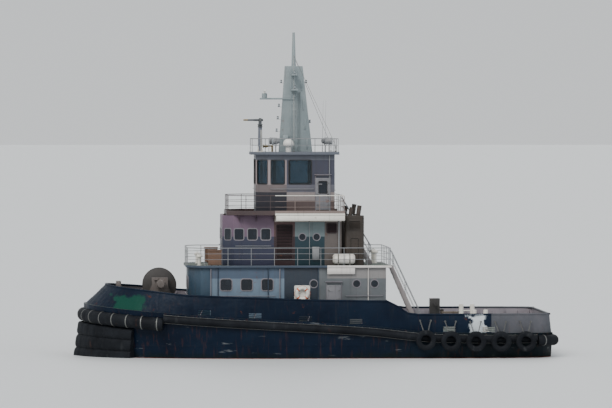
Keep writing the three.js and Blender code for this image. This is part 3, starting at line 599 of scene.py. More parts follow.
def row_along(shape, path, unit, count, finish, mark=0, upright=True, twist=False):
    """Adds to a shape the unit repeated along a path by geometry nodes, as plain faces."""
    if (upright, twist) not in ROW_TREES:
        ROW_TREES[upright, twist] = row_tree(upright, twist)
    pattern = linked("row_unit", unit.mesh("row_unit"))
    line = bpy.data.meshes.new("row_path")
    line.from_pydata([tuple(p) for p in path], [(i, i + 1) for i in range(len(path) - 1)], [])
    host = linked("row_path", line)
    modifier = host.modifiers.new("row", "NODES")
    modifier.node_group = ROW_TREES[upright, twist]
    sockets = {s.name: s.identifier for s in modifier.node_group.interface.items_tree}
    for label, value in (("Count", count), ("Unit", pattern), ("Finish", finish.material)):
        modifier[sockets[label]] = value
    result = host.evaluated_get(bpy.context.evaluated_depsgraph_get())
    mesh = bpy.data.meshes.new_from_object(result)
    shape.add([v.co for v in mesh.vertices], [list(p.vertices) for p in mesh.polygons], mark)
    host.modifiers.remove(modifier)
    for spare in (host, pattern):
        bpy.data.objects.remove(spare)


# Worn patches of other paint on the port side. Columns: middle and half length along x, bottom,
# top, share of it still there, colour
PORT_PATCHES = [
    (10.15, 0.85, 2.6, 3.42, 0.92, (10, 62, 50)),
    (-9.15, 0.42, 1.4, 2.34, 0.85, (206, 214, 218)),
]
PATCH_SOFT = 0.08
STERN_GREY = ((88, 88, 94), (66, 70, 76), ("X", -15, -9.95))


def bulwark_finish():
    """Navy black with a grey stern, weathered, and with the patches of other paint on it."""
    finish = weathered("bulwark_enamel", NAVY_BLACK, NAVY_WORN, 0.4, 0.25, 0.45, 0.03, 2,
                       [STERN_GREY]).set("Specular IOR Level", HULL_SHEEN)
    x, y, z = (finish.axis(letter) for letter in "XYZ")
    ragged = finish.ramp(finish.noise(2.2, detail=7, seed=51), 0, 1, -0.3, 0.3)
    level = finish.math("ADD", z, finish.math("MULTIPLY", ragged, 0.5))
    body = finish.shader["Base Color"].links[0].from_socket
    for middle, half, low, high, share, tint in PORT_PATCHES:
        off = finish.math("ABSOLUTE", finish.math("SUBTRACT", x, middle))
        off = finish.math("ADD", off, ragged)
        inside = finish.ramp(off, half + PATCH_SOFT, half - PATCH_SOFT)
        for place, clear, full in ((level, low - PATCH_SOFT, low + PATCH_SOFT),
                                   (level, high + PATCH_SOFT, high - PATCH_SOFT), (y, 0.2, 0.4)):
            inside = finish.math("MULTIPLY", inside, finish.ramp(place, clear, full))
        body = finish.laid(body, inside, share, tint)
    return finish.colour(body)


BULWARK_FINISH = bulwark_finish()
INNER_GREY = weathered("bulwark_inside", (150, 142, 150), (126, 122, 130),
                       0.55, 0.5, 0.5, 0.02, 4)
for node in ("bulwark_bow", "bulwark_port", "bulwark_stbd", "bulwark_stern"):
    plate = dressed(node, "_plate", [BULWARK_FINISH, INNER_GREY], "hull_paint", 0.008, smooth=28)
    for face in plate.data.polygons:
        heart = Vector((min(max(face.center.x, -10), 8), 0, 0))
        face.material_index = int((face.center - heart).xy.dot(face.normal.xy) < 0)


def bulwark_line(edge, out, share):
    """A line along the bulwark, at a share of its height over the deck, off its middle."""
    def up(x):
        return deck_at(x) + (read(BULWARK_TOP, x, 1) - deck_at(x)) * share

    def across(x):
        foot = deck_at(x) - BULWARK_SUNK
        lean = read(BULWARK_TOP, x, 2) * (up(x) - foot) / (read(BULWARK_TOP, x, 1) - foot)
        return out - BULWARK_MIDDLE - lean
    return beside(edge, across, up)


cap = Shape()
for edge in (bow_edge(STERN_X), stern_edge(-13.4)):
    cap.rod([p + UP * 0.01 for p in bulwark_line(edge, 0, 1)], CAP_RADIUS, 10)
cap.piece("bulwark_cap_rail", [BULWARK_FINISH], "hull_paint", smooth=50)

# A bracket is a plate cut to a slope, as high as the bulwark less its cap, and longer at the
# high bulwark forward
brackets = Shape()
for side in (1, -1):
    edge = side_edge(-13.2, 12.2, side)
    foot, head = (evened(bulwark_line(edge, BULWARK_FACE, share), BRACKET_STEP) for share in (0, 1))
    for low, high, out in zip(foot, head, outward(foot)):
        high = high + (low - high) * 0.1
        toe = low - out * (0.34 if high.z - low.z < 1.2 else 0.4)
        run = Vector((-out.y, out.x, 0)) * BRACKET_PLATE
        brackets.prism([p - run for p in (low + UP * 0.004, toe + UP * 0.004, toe + UP * 0.12,
                                          high - out * 0.06, high)], run * 2)
brackets.piece("bulwark_brackets", [INNER_GREY], "hull_paint")

# Rims of round bar about the fairleads, and two bars across each freeing port
LEAD_AT_STEM = 3.45
FREEING_PORTS = (-9.8, -7.6, -2.4, 0.4, 3.2, 6)


def clipped(wide, high, cut):
    """A rectangle about zero with its corners cut off, as pairs of across and up."""
    return [(-wide + cut, -high), (wide - cut, -high), (wide, -high + cut), (wide, high - cut),
            (wide - cut, high), (-wide + cut, high), (-wide, high - cut), (-wide, -high + cut)]


def bow_plate_x(y, z):
    """Where the bow bulwark's middle stands, for a point near the stem."""
    foot, (stem, top, lean) = deck_at(STEM_X) - BULWARK_SUNK, BULWARK_TOP[-1]
    return stem + 0.06 - BULWARK_MIDDLE - lean * (z - foot) / (top - foot) - 0.19 * abs(y)


rims = Shape()
rims.rod([(bow_plate_x(y, LEAD_AT_STEM + z), y, LEAD_AT_STEM + z)
          for y, z in clipped(0.55, 0.2, 0.1)], 0.06, 8, looped=True)
for side in (1, -1):
    rims.rod([(-13.35, side * 1.7 + y, 1.925 + z) for y, z in clipped(0.4, 0.175, 0.07)],
             0.045, 8, looped=True)
    for x in FREEING_PORTS:
        ends = bulwark_line(side_edge(x - 0.36, x + 0.36, side), 0, 0)
        for lift in (0.14, 0.24):
            rims.rod([p + Vector((0, -side * 0.006, lift)) for p in ends], 0.014, 6)
rims.piece("fairlead_rims", [BULWARK_FINISH], "hull_paint", smooth=60)

# Fenders
# Moulded black rubber, bolted and strapped to the shell: a round fender over the bow, ribbed
# blocks under it down to the water, D-section strakes along the sides and a round one aft.

# Columns: name, radius, how far outboard its middle lies, how far under the deck, its edge
ROUND_FENDERS = [
    ("bow_fender", 0.36, 0, 0.64, bow_edge(8.3)),
    ("stern_fender", 0.3, 0.035, 0.42, stern_edge(-12.56)),
]
FINE_STEP = 0.1
JOINT_STEP, JOINT_DEEP, JOINT_HALF = 1.8, 0.03, 0.05
STRAKE_HIGH, STRAKE_BELOW, STRAKE_LENGTH = 0.42, 0.33, 2


def rubber(name, seed, dust=0.35):
    """Old fender rubber: black gone grey, with chalky scuffs and rubbed patches."""
    finish = Finish(name).set("Specular IOR Level", HULL_SHEEN)
    body = finish.mix(finish.noise(1.1, detail=6, seed=seed), (13, 15, 20), (30, 33, 38))
    chalk = finish.noise(2.4, 0.58, 0.74, (1, 1, 0.5), 8, seed + 5)
    body = finish.laid(body, chalk, dust, (74, 76, 78))
    rust = finish.noise(1.7, 0.66, 0.74, (1, 1, 0.3), 6, seed + 9)
    finish.colour(finish.laid(body, rust, 0.2, RUST)).rough(chalk, 0.66, 0.92)
    return finish.bump(finish.noise(16, detail=6, seed=seed), 0.006)


def grooved(distance, step):
    """How far a rubber length is drawn in near its joints, which come at even steps."""
    off = abs((distance + step / 2) % step - step / 2)
    return JOINT_DEEP * max(0, 1 - (off / JOINT_HALF) ** 2)


def stub(radius, high, low=0):
    """The profile of a plain short cylinder, for a bolt head or a foot."""
    return [(0, low), (radius, low), (radius, high), (0, high)]


FENDER_RUBBER = rubber("fender_rubber", 1)
STRAP_STEEL = weathered("galvanised_steel", (118, 120, 118), (92, 92, 90), 0.7, 0.3,
                        0.45).set("Metallic", 0.5)
for name, radius, out, below, edge in ROUND_FENDERS:
    line = evened(beside(edge, lambda x: out, lambda x: deck_at(x) - below), FINE_STEP)
    length = FINE_STEP * (len(line) - 1)
    pieces = round(length / JOINT_STEP)
    radii = [radius - grooved(i * FINE_STEP, length / pieces) for i in range(len(line))]
    radii[0] = radii[-1] = radius * 0.86
    fender = Shape().rod(line, radii, 20)
    inner, outer = radius * 0.99, radius + 0.012
    strap = Shape().turned([(inner, -0.03), (outer, -0.03), (outer, 0.03), (inner, 0.03)],
                           (0, 0, 0), "X", 28, looped=True)
    row_along(fender, line[3:-3], strap, pieces * 2, STRAP_STEEL, 1)
    fender.piece(name + "_rubber", [FENDER_RUBBER, STRAP_STEEL], "fender_rubber",
                 replaces=[name], smooth=40)

# The block fender has three ribs with two deep channels between them, in lengths of 0.6 m
APRON_LOW, APRON_UNDER_DECK = -0.25, 1.06
APRON_LOW_OUT, APRON_TOP_OUT, APRON_BACK = 0.62, 0.32, -0.12
APRON_BLOCK = 0.6
# Columns: share of its height, how far the face stands in or out there
APRON_RIB = [
    (0, -0.07), (0.03, -0.01), (0.1, 0), (0.22, 0), (0.28, -0.02), (0.33, -0.1), (0.38, -0.02),
    (0.44, 0), (0.56, 0), (0.62, -0.02), (0.67, -0.1), (0.72, -0.02), (0.78, 0), (0.9, 0),
    (0.97, -0.01), (1, -0.07)]
blocks, apron_line = [], evened(bow_edge(9.9), FINE_STEP)
for i, (point, normal) in enumerate(zip(apron_line, outward(apron_line))):
    deck = deck_at(point.x)
    deck_half, water_half = (read(HULL_LINES, point.x, column) for column in (1, 2))
    top = deck - APRON_UNDER_DECK
    section = [(APRON_LOW + (top - APRON_LOW) * share,
                APRON_LOW_OUT + (APRON_TOP_OUT - APRON_LOW_OUT) * share + rib
                - grooved(i * FINE_STEP, APRON_BLOCK)) for share, rib in APRON_RIB]
    blocks.append([])
    for z, out in section + [(top, APRON_BACK), (APRON_LOW, APRON_BACK)]:
        flare = (water_half + (deck_half - water_half) * max(z, 0) / deck) / max(deck_half, 1e-6)
        blocks[-1].append((point.x + normal.x * out, point.y * flare + normal.y * out, z))
Shape().skin(blocks).piece("bow_apron_rubber", [FENDER_RUBBER], "fender_rubber", "root",
                           ["bow_apron"], 30)

# Used tyres hang on chains over the after strakes. The profile runs round the tyre's section
TYRE_XS = (-11.85, -10.45, -9.05, -7.65, -6.25)
TYRE_OUT = 0.365
TYRE_HALF = [
    (0.56, 0), (0.56, 0.015), (0.546, 0.02), (0.546, 0.045), (0.56, 0.05), (0.56, 0.085),
    (0.546, 0.09), (0.546, 0.11), (0.56, 0.115), (0.555, 0.14), (0.535, 0.168), (0.5, 0.182),
    (0.43, 0.185), (0.36, 0.176), (0.31, 0.15), (0.275, 0.125), (0.268, 0.105), (0.3, 0.1),
    (0.35, 0.13), (0.43, 0.145), (0.5, 0.13), (0.525, 0.09), (0.528, 0)]
TYRE_PROFILE = TYRE_HALF + [(r, -h) for r, h in reversed(TYRE_HALF[1:-1])]
TYRE_RUBBER = rubber("tyre_rubber", 20, 0.6)
# Columns: how far outboard, how high over its foot
STRAKE_BULGE = [(-0.12, 0), (0.06, 0), (0.14, 0.02), (0.205, 0.09), (0.235, 0.17), (0.24, 0.21),
                (0.235, 0.25), (0.205, 0.33), (0.14, 0.4), (0.06, 0.42), (-0.12, 0.42)]
STRAKE_BOLTS = 52
LINK_LONG, LINK_WIDE, LINK_STEP = 0.045, 0.028, 0.062
chain_link = Shape().rod([(p.x * LINK_LONG, p.y * LINK_WIDE, 0) for p in circle((0, 0, 0), 1, 8)],
                         0.011, 5, looped=True)
strake_bolt = Shape().turned(stub(0.028, 0.02), (0, 0, 0), "Z", 6)
for side, name in SIDES:
    line = evened(side_edge(-12.5, 8.25, side), FINE_STEP)
    rings = []
    for i, (point, normal) in enumerate(zip(line, outward(line))):
        dent = grooved(i * FINE_STEP, STRAKE_LENGTH)
        foot = deck_at(point.x) - STRAKE_BELOW - STRAKE_HIGH / 2
        rings.append([point + normal * (out - (dent if out > 0.1 else 0)) + UP * (foot + up)
                      for out, up in STRAKE_BULGE])
    fender = Shape().skin(rings)
    for lift in (-0.012, STRAKE_HIGH + 0.012):
        flat = beside(line, lambda x: 0.035,
                      lambda x: deck_at(x) - STRAKE_BELOW - STRAKE_HIGH / 2 + lift)
        fender.skin([[p + n * a + UP * b for a, b in (
            (-0.05, -0.008), (0.05, -0.008), (0.05, 0.008), (-0.05, 0.008))]
            for p, n in zip(flat[::4], outward(flat)[::4])], 1)
    row_along(fender, [p + UP * 0.008 for p in flat], strake_bolt, STRAKE_BOLTS, STRAP_STEEL, 1)
    fender.piece(f"side_fender_{name}_strake", [FENDER_RUBBER, STRAP_STEEL], "fender_rubber",
                 "root", [f"side_fender_{name}"], 40)

    tyres, chains = Shape(), Shape()
    dice = random.Random(11 + side)
    for x in TYRE_XS:
        half = read(HULL_LINES, x, 1)
        middle = Vector((x, side * (half + TYRE_OUT), deck_at(x) - STRAKE_BELOW - 0.12))
        one = Shape().turned(TYRE_PROFILE, (0, 0, 0), "Y", 40, looped=True)
        turn = (Matrix.Translation(middle) @ Matrix.Rotation(radians(dice.uniform(-3, 3)), 4, "Z")
                @ Matrix.Rotation(radians(dice.uniform(-4, 1)) * side, 4, "X"))
        tyres.add([turn @ Vector(v) for v in one.verts], one.faces)
        for spread in (-1, 1):
            eye = Vector((x + spread * 0.3, side * (half - 0.03), deck_at(x) + 0.62))
            path = evened([middle + Vector((spread * 0.1, side * 0.02, 0.4)),
                           middle + Vector((spread * 0.16, -side * 0.12, 0.6)), eye], 0.02)
            row_along(chains, path, chain_link, max(5, round(0.02 * len(path) / LINK_STEP)),
                      STRAP_STEEL, upright=False, twist=True)
            ring = circle(eye + Vector((0, side * 0.01, 0)), 0.045, 10, "Y")
            chains.rod(ring, 0.014, 6, looped=True)
    tyres.piece(f"tyres_{name}", [TYRE_RUBBER], "fender_rubber", smooth=50)
    chains.piece(f"tyre_chains_{name}", [STRAP_STEEL], "fender_rubber", smooth=60)

# Steerable thrusters
# Cast and welded steel leg, gear pod and nozzle that turn as one under the hull, painted like
# the bottom. Zinc anodes are bolted round the nozzle, and a ring of bolts holds the leg.

THRUSTER_X, THRUSTER_Y, THRUSTER_HUB = -10.3, 2.45, -3.4503
FLANGE_BELOW, FLANGE_RADIUS, FLANGE_BOLTS = -2.3603, 0.7, 25
ANODES = 6
BOTTOM_RED = weathered("bottom_red", ANTIFOULING, ANTIFOULING_WORN, 0.5, 0.5, 0.7, 0.01, 6)
ZINC = weathered("zinc_anode", (160, 160, 156), (120, 118, 112), 0.1, 0.2, 0.6)
anode = Shape().block((-0.16, -0.03, -0.05), (0.16, 0.03, 0.05), 0.02)
bolt = Shape().turned(stub(0.032, 0.03), (0, 0, 0), "Z", 6)
for side, name in SIDES:
    thruster, middle = f"thruster_{name}", Vector((THRUSTER_X, side * THRUSTER_Y, THRUSTER_HUB))
    dressed(thruster, "_casting", [BOTTOM_RED], "hull_paint", 0.006, thruster, 0.4, smooth=35)
    fittings = Shape()
    for k in range(ANODES):
        turn = (Matrix.Translation(middle) @ Matrix.Rotation(2 * pi * (k + 0.5) / ANODES, 4, "X")
                @ Matrix.Translation((-0.85, 0, 1.222)) @ Matrix.Rotation(0.07, 4, "Y"))
        fittings.add([turn @ Vector((x, z, y)) for x, y, z in anode.verts], anode.faces)
    ring = circle((middle.x, middle.y, FLANGE_BELOW), FLANGE_RADIUS, 36)
    row_along(fittings, ring + ring[:1], bolt, FLANGE_BOLTS, ZINC)
    fittings.piece(thruster + "_anodes", [ZINC], "hull_paint", thruster)

# Propellers
# Four-bladed bronze castings of the wide-tipped kind that turns in a nozzle, keyed to the pod's
# shaft and closed by a cap. Faces are polished by the water, with greener, duller patches.

PROPELLER_X = -11
BLADES, BLADE_PITCH = 4, 2.07
# Columns: radius, chord, thickness
BLADE = [(0.16, 0.3, 0.08), (0.3, 0.34, 0.068), (0.45, 0.42, 0.055), (0.6, 0.49, 0.044),
         (0.75, 0.545, 0.034), (0.9, 0.57, 0.026), (1, 0.56, 0.02), (1.04, 0.53, 0.017),
         (1.056, 0.46, 0.012)]
# Columns: share of the chord, share of half the thickness
BLADE_SECTION = [(-0.5, 0.03), (-0.46, 0.45), (-0.3, 0.9), (-0.05, 1), (0.2, 0.8), (0.4, 0.45),
                 (0.5, 0.08)]
HUB = [(0, -0.33), (0.06, -0.325), (0.12, -0.29), (0.19, -0.2), (0.228, -0.1), (0.23, 0),
       (0.23, 0.25), (0.215, 0.26), (0, 0.26)]
BRONZE = Finish("propeller_bronze", 0.3, 0.9)
body = BRONZE.mix(BRONZE.noise(3, detail=5), (176, 130, 66), (142, 104, 56))
green = BRONZE.noise(5, 0.6, 0.75, detail=7, seed=3)
BRONZE.colour(BRONZE.laid(body, green, 0.45, (86, 112, 84))).rough(green, 0.24, 0.55)
BRONZE.bump(BRONZE.noise(30), 0.001)
for side, name in SIDES:
    middle = Vector((PROPELLER_X, side * THRUSTER_Y, THRUSTER_HUB))
    screw = Shape().turned(HUB, middle, "X", 32)
    for k in range(BLADES):
        turn = Matrix.Translation(middle) @ Matrix.Rotation(2 * pi * k / BLADES, 4, "X")
        rings = []
        for radius, chord, thick in BLADE:
            angle = atan(BLADE_PITCH / (2 * pi * radius))
            across = Vector((-sin(angle), cos(angle), 0)) * chord
            face = Vector((cos(angle), sin(angle), 0)) * thick / 2
            rings.append([turn @ (across * s + face * h + UP * radius) for s, h in
                          BLADE_SECTION + [(s, -h) for s, h in reversed(BLADE_SECTION)]])
        screw.skin(rings)
    screw.piece(f"propeller_{name}_screw", [BRONZE], "propeller_bronze", f"propeller_{name}",
                [f"propeller_{name}"], 40)

# Lower house
# Welded steel plate house on the main deck, teal-grey at its front and blue-grey, navy and grey
# along its sides, with framed windows, round ports, storm rails, lifebuoys and louvres. The
# teal-grey and the blue-grey are its white paint in painted shade, the navy is painted shade at a
# recess, and a darker band under the boat deck is the painted shadow of the deck's overhang.

# Band under the boat deck: its first zone below is the painted shadow of the deck's overhang
UNDER_DECK = ("Z", 4.4, 5.1)
# Blue-grey is white paint with painted shade in it; then painted shadow under the deck, navy
# painted shade at a recess, grey paint aft with a pale band under the deck
HOUSE_PAINT = weathered(
    "house_blue_grey_shaded", (108, 126, 142), (88, 106, 124), 0.35, 0.45, 0.42, 0.012, 60, [
        ((70, 88, 108), (56, 72, 92), UNDER_DECK),
        ((22, 34, 48), (36, 46, 58), ("X", -0.42, 1.5)),
        ((100, 104, 108), (80, 86, 90), ("X", -9, -0.42)),
        ((132, 130, 130), (114, 112, 112), ("X", -9, -0.9), UNDER_DECK)])
# Teal-grey front: the house's white paint in painted shade on its forward faces
HOUSE_FORE_SHADED = weathered("house_front_shaded_teal", (46, 68, 86), (38, 58, 74), 0.4, 0.5, 0.42, 0.012, 66)
FRAME_GREY = weathered("frame_grey", (128, 124, 130), (106, 104, 112), 0.4, 0.4, 0.4, seed=64)
GASKET = Finish("window_gasket", 0.7).clouded(9, (18, 18, 20), (38, 38, 40))
INSIDE_WHITE = Finish("cabin_lining", 0.6).clouded(1.2, (196, 192, 182), (170, 166, 156))
BUOY_WHITE = Finish("lifebuoy_white", 0.5).clouded(3, (226, 226, 220), (204, 202, 194))
BUOY_ORANGE = Finish("lifebuoy_orange", 0.55).clouded(3, (206, 92, 44), (180, 84, 50))
VENT_DARK = Finish("vent_shadow", 0.9).clouded(5, (14, 14, 16), (26, 25, 24))

# Tinted window glass painted dark, as painted shade for the unlit room behind it, with faint dust
ROOM_SHADE_GLASS = Finish("glass_with_room_shade", 0.06).set("Specular IOR Level", 0.4)
dust = ROOM_SHADE_GLASS.noise(2.2, 0.5, 0.8, (1, 1, 0.4), 6, 5)
body = ROOM_SHADE_GLASS.mix(ROOM_SHADE_GLASS.noise(0.5, seed=8), (6, 14, 24), (16, 26, 38))
ROOM_SHADE_GLASS.colour(ROOM_SHADE_GLASS.laid(body, dust, 0.2, (80, 88, 94))).rough(dust, 0.05, 0.3)


def rounded(wide, high, radius, steps=4):
    """A rounded rectangle about zero, as pairs of across and up. A large radius gives a circle."""
    radius = min(radius, wide / 2, high / 2)
    found = []
    for cx, cy, start in ((1, 1, 0), (-1, 1, 1), (-1, -1, 2), (1, -1, 3)):
        for t in ((start + k / steps) * pi / 2 for k in range(steps + 1)):
            found.append((cx * (wide / 2 - radius) + radius * cos(t),
                          cy * (high / 2 - radius) + radius * sin(t)))
    return found


def on_wall(middle, face):
    """Turns across, up and outward distances on a wall into a point. Face is the way it looks."""
    face, middle = Vector(face).normalized(), Vector(middle)
    return lambda across, up, out: middle + UP.cross(face) * across + UP * up + face * out


def hoop(shape, spot, outline, wide, deep, mark=0):
    """A flat frame round an outline on a wall, as wide and as deep as given."""
    grown = []
    for i, (a, b) in enumerate(outline):
        ahead, behind = outline[(i + 1) % len(outline)], outline[i - 1]
        run = Vector((ahead[0] - behind[0], ahead[1] - behind[1])).normalized()
        grown.append((a + run.y * wide, b - run.x * wide))
    crown = [((a + g) / 2, (b + h) / 2) for (a, b), (g, h) in zip(outline, grown)]
    shape.skin([[spot(a, b, c) for a, b in ring] for ring, c in (
        (outline, 0), (grown, 0), (grown, deep * 0.7), (crown, deep), (outline, deep * 0.8))],
        mark, looped=True)


def window(frames, panes, middle, face, wide, high, radius=0.09, rim=0.055):
    """A framed window on a wall: a steel rim, a rubber gasket inside it and a dark pane."""
    spot = on_wall(middle, face)
    hoop(frames, spot, rounded(wide, high, radius), rim, 0.03)
    hoop(frames, spot, rounded(wide - 0.05, high - 0.05, radius * 0.8), 0.027, 0.022, 1)
    panes.prism([spot(a, b, 0.003) for a, b in rounded(wide - 0.04, high - 0.04, radius * 0.8)],
                Vector(face).normalized() * 0.012)


RAIL_OFF, RAIL_RADIUS, RAIL_STEP = 0.07, 0.017, 1.1


def storm_rail(shape, start, end, face):
    """A round hand rail along a wall, on short brackets."""
    off = Vector(face).normalized() * RAIL_OFF
    line = evened([Vector(start) + off, Vector(end) + off], RAIL_STEP)
    shape.rod(line, RAIL_RADIUS, 8)
    for point in (line[1:-1] or line) + [line[0], line[-1]]:
        shape.rod([point, point - off], RAIL_RADIUS * 0.7, 6)


def louvre(shape, middle, face, wide, high, slats):
    """A framed ventilation louvre: sloping slats (mark 0) in front of a dark opening (mark 1)."""
    spot, outline = on_wall(middle, face), rounded(wide, high, 0.02, 1)
    hoop(shape, spot, outline, 0.05, 0.05)
    for i in range(slats):
        low = -high / 2 + 0.02 + i * (high - 0.04) / slats
        shape.prism([spot(-wide / 2, low + up, out) for up, out in (
            (0.045, 0.004), (0.055, 0.004), (0.015, 0.045), (0.005, 0.045))],
            spot(wide, 0, 0) - spot(0, 0, 0))
    shape.prism([spot(a, b, 0.002) for a, b in outline], Vector(face).normalized() * 0.003, 1)


def lifebuoy(shape, middle, face, radius):
    """A ring buoy on a board on a wall. Mark 0 is ring and board, mark 1 bands and grab line."""
    spot, tube = on_wall(middle, face), radius * 0.24
    board = rounded(radius * 2.2, radius * 2.7, 0.08)
    shape.prism([spot(a, b - radius * 0.2, 0.002) for a, b in board], Vector(face) * 0.018)

    def around(angle, out=0):
        reach, t = radius - tube + out, radians(angle)
        return spot(cos(t) * reach, sin(t) * reach, tube + 0.02)

    shape.rod([around(9 * k) for k in range(40)], tube, 14, 0, looped=True)
    for start in (45, 135, 225, 315):
        shape.rod([around(start + more) for more in (-7, -3.5, 0, 3.5, 7)], tube * 1.03, 14, 1)
    shape.rod([around(7.5 * k, tube + 0.012 + 0.03 * abs(cos(radians(15 * k))))
               for k in range(48)], 0.008, 5, 1, looped=True)


def plated(house, slot, aft, fore, outside, front):
    """The four walls of a house from their CAD solids, painted outside and lined inside. Aft and
    fore are the x between which the inside of the house lies."""
    for place in ("front", "port", "stbd", "aft"):
        paints = [front if place == "front" else outside, INSIDE_WHITE]
        wall = dressed(f"{house}_{place}", "_plating", paints, slot, 0.008, smooth=30)
        for face in wall.data.polygons:
            away = Vector((face.center.x - min(max(face.center.x, aft), fore), face.center.y, 0))
            face.material_index = int(abs(face.normal.z) < 0.5 and away.dot(face.normal) < 0)


plated("deckhouse", "house_paint", -3.9, 5.4, HOUSE_PAINT, HOUSE_FORE_SHADED)
HOUSE_SIDE, HOUSE_FRONT, HOUSE_BACK = 3.2, 6.8, -4.2
frames, panes, rails, buoys, vents = (Shape() for _ in range(5))
for side in (1, -1):
    wall, face = side * HOUSE_SIDE, (0, side, 0)
    for x in (4.75, 3.6, 2.45):
        window(frames, panes, (x, wall, 4.05), face, 0.62, 0.62, 0.12)
    for x in (-0.15, -2.55, -3.55):
        window(frames, panes, (x, wall, 4.1), face, 0.4, 0.4, 0.2)
    for fore, aft in ((5.2, 2), (-1.95, -4)):
        storm_rail(rails, (fore, wall, 3.42), (aft, wall, 3.42), face)
    lifebuoy(buoys, (0.5, wall, 3.55), face, 0.4)
    louvre(vents, (-2.95, wall, 2.75), face, 1.3, 0.8, 9)
    for x in (5.6, 1.75):
        rails.rod([(x, wall + side * 0.06, z) for z in (4.95, 2.6)], 0.03, 8)
for y in (-1.5, 0, 1.5):
    window(frames, panes, (HOUSE_FRONT, y, 4.1), (1, 0, 0), 0.7, 0.62, 0.12)
for y in (-1.1, 1.1):
    window(frames, panes, (HOUSE_BACK, y, 3.95), (-1, 0, 0), 0.5, 0.5, 0.25)
storm_rail(rails, (HOUSE_FRONT, -2.2, 3.45), (HOUSE_FRONT, 2.2, 3.45), (1, 0, 0))
storm_rail(rails, (HOUSE_BACK, -1.6, 3.3), (HOUSE_BACK, 1.6, 3.3), (-1, 0, 0))
frames.piece("deckhouse_window_frames", [FRAME_GREY, GASKET], "trim_paint")
panes.piece("deckhouse_windows", [ROOM_SHADE_GLASS], "window_glass")
rails.piece("deckhouse_rails", [FRAME_GREY], "trim_paint", smooth=50)
buoys.piece("deckhouse_lifebuoys", [BUOY_WHITE, BUOY_ORANGE], "raft_shell", smooth=60)
vents.piece("deckhouse_vents", [HOUSE_PAINT, VENT_DARK], "house_paint")

# Doors
# Weathertight steel doors, each a pressed leaf in a coaming with six clips, a lever and long
# hinge straps. The wheelhouse doors have a window of their own, set in rubber.

DOOR_WIDE, DOOR_HIGH, DOOR_HALF, DOOR_OFF = 0.76, 1.8, 0.03, 0.036
DOOR_PAINT = weathered("door_grey", (124, 124, 128), (104, 104, 110), 0.5, 0.5, 0.4, seed=70)
CLIP_STEEL = weathered("clip_steel", (104, 104, 100), (80, 80, 76), 0.4, 0.2, 0.35, seed=72)
# Columns: house, x of its doors' hinges, half breadth of the house, glazed
DOORWAYS = [("deckhouse", -0.9, HOUSE_SIDE, False), ("wheelhouse", -0.35, 2, True)]


def door_fittings(shape, hinge, axis, sill, side):
    """What sits on a door's leaf, which hangs from its fore edge and reaches aft of the hinge."""
    out, middle = Vector((0, side, 0)), Vector((hinge - DOOR_WIDE / 2, axis + side * DOOR_HALF,
                                                sill + DOOR_HIGH / 2))
    spot = on_wall(middle, out)
    hoop(shape, spot, rounded(DOOR_WIDE - 0.13, DOOR_HIGH - 0.13, 0.1), 0.022, 0.012)
    for a in (-1, 1):
        for b in (-0.62, 0, 0.62):
            clip, grip = (spot(a * (DOOR_WIDE / 2 - inset), b - down, up) for inset, down, up in (
                (0.055, 0, 0), (0.165, 0.05, 0.035)))
            shape.rod([clip, clip + out * 0.035], 0.02, 8, 1)
            shape.rod([clip + out * 0.03, grip], 0.011, 6, 1)
    for b in (-0.55, 0.55):
        shape.block((hinge - 0.34, middle.y + side * 0.004, middle.z + b - 0.025),
                    (hinge - 0.01, middle.y + side * 0.016, middle.z + b + 0.025), 0.004)
    shape.rod([Vector((hinge - DOOR_WIDE + 0.12, middle.y + side * d, middle.z + h)) for d, h in (
        (0, -0.16), (0.05, -0.14), (0.06, 0), (0.05, 0.14), (0, 0.16))], 0.012, 8, 1)


def coaming(shape, hinge, sill, side, wall):
    """The fixed frame round a doorway, outside the leaf so that the door swings clear."""
    spot = on_wall((hinge - DOOR_WIDE / 2, side * wall, sill + DOOR_HIGH / 2), (0, side, 0))
    inner = rounded(DOOR_WIDE + 0.06, DOOR_HIGH + 0.22, 0.05, 2)
    outer = rounded(DOOR_WIDE + 0.12, DOOR_HIGH + 0.28, 0.07, 2)
    shape.skin([[spot(a, b, c) for a, b in ring] for ring, c in (
        (inner, -0.004), (outer, -0.004), (outer, 0.02), (inner, 0.02))], looped=True)
    shape.prism([spot(-DOOR_WIDE / 2 - 0.1, DOOR_HIGH / 2 + 0.2 + b, c) for b, c in (
        (0, 0), (0.012, 0), (-0.02, 0.16), (-0.032, 0.16))],
        spot(DOOR_WIDE + 0.2, 0, 0) - spot(0, 0, 0))


coamings = Shape()
for side, name in SIDES:
    for place, hinge, wall, glazed in DOORWAYS:
        node, axis = f"door_{place}_{name}", side * (wall + DOOR_OFF)
        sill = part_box(node)[0].z
        dressed(node, "_leaf", [DOOR_PAINT], "trim_paint", 0.006, node)
        fittings = Shape()
        door_fittings(fittings, hinge, axis, sill, side)
        if glazed:
            middle = (hinge - DOOR_WIDE / 2, axis + side * DOOR_HALF, sill + 1.275)
            spot = on_wall(middle, (0, side, 0))
            hoop(fittings, spot, rounded(DOOR_WIDE - 0.32, 0.65, 0.03), 0.035, 0.014, 2)
            glass = rounded(DOOR_WIDE - 0.33, 0.64, 0.03)
            Shape().prism([spot(a, b, -0.035) for a, b in glass], (0, side * 0.012, 0)).piece(
                node + "_glass", [ROOM_SHADE_GLASS], "window_glass", node)
        fittings.piece(node + "_clips", [DOOR_PAINT, CLIP_STEEL, GASKET], "trim_paint", node)
        coaming(coamings, hinge, sill, side, wall)
coamings.piece("door_coamings", [FRAME_GREY], "trim_paint")

# Boat deck
# Steel deck over the lower house, coated green-grey on top, dark at its edge forward and white
# aft, with drains, guard rails of welded tube, lockers and mushroom vents standing on it.

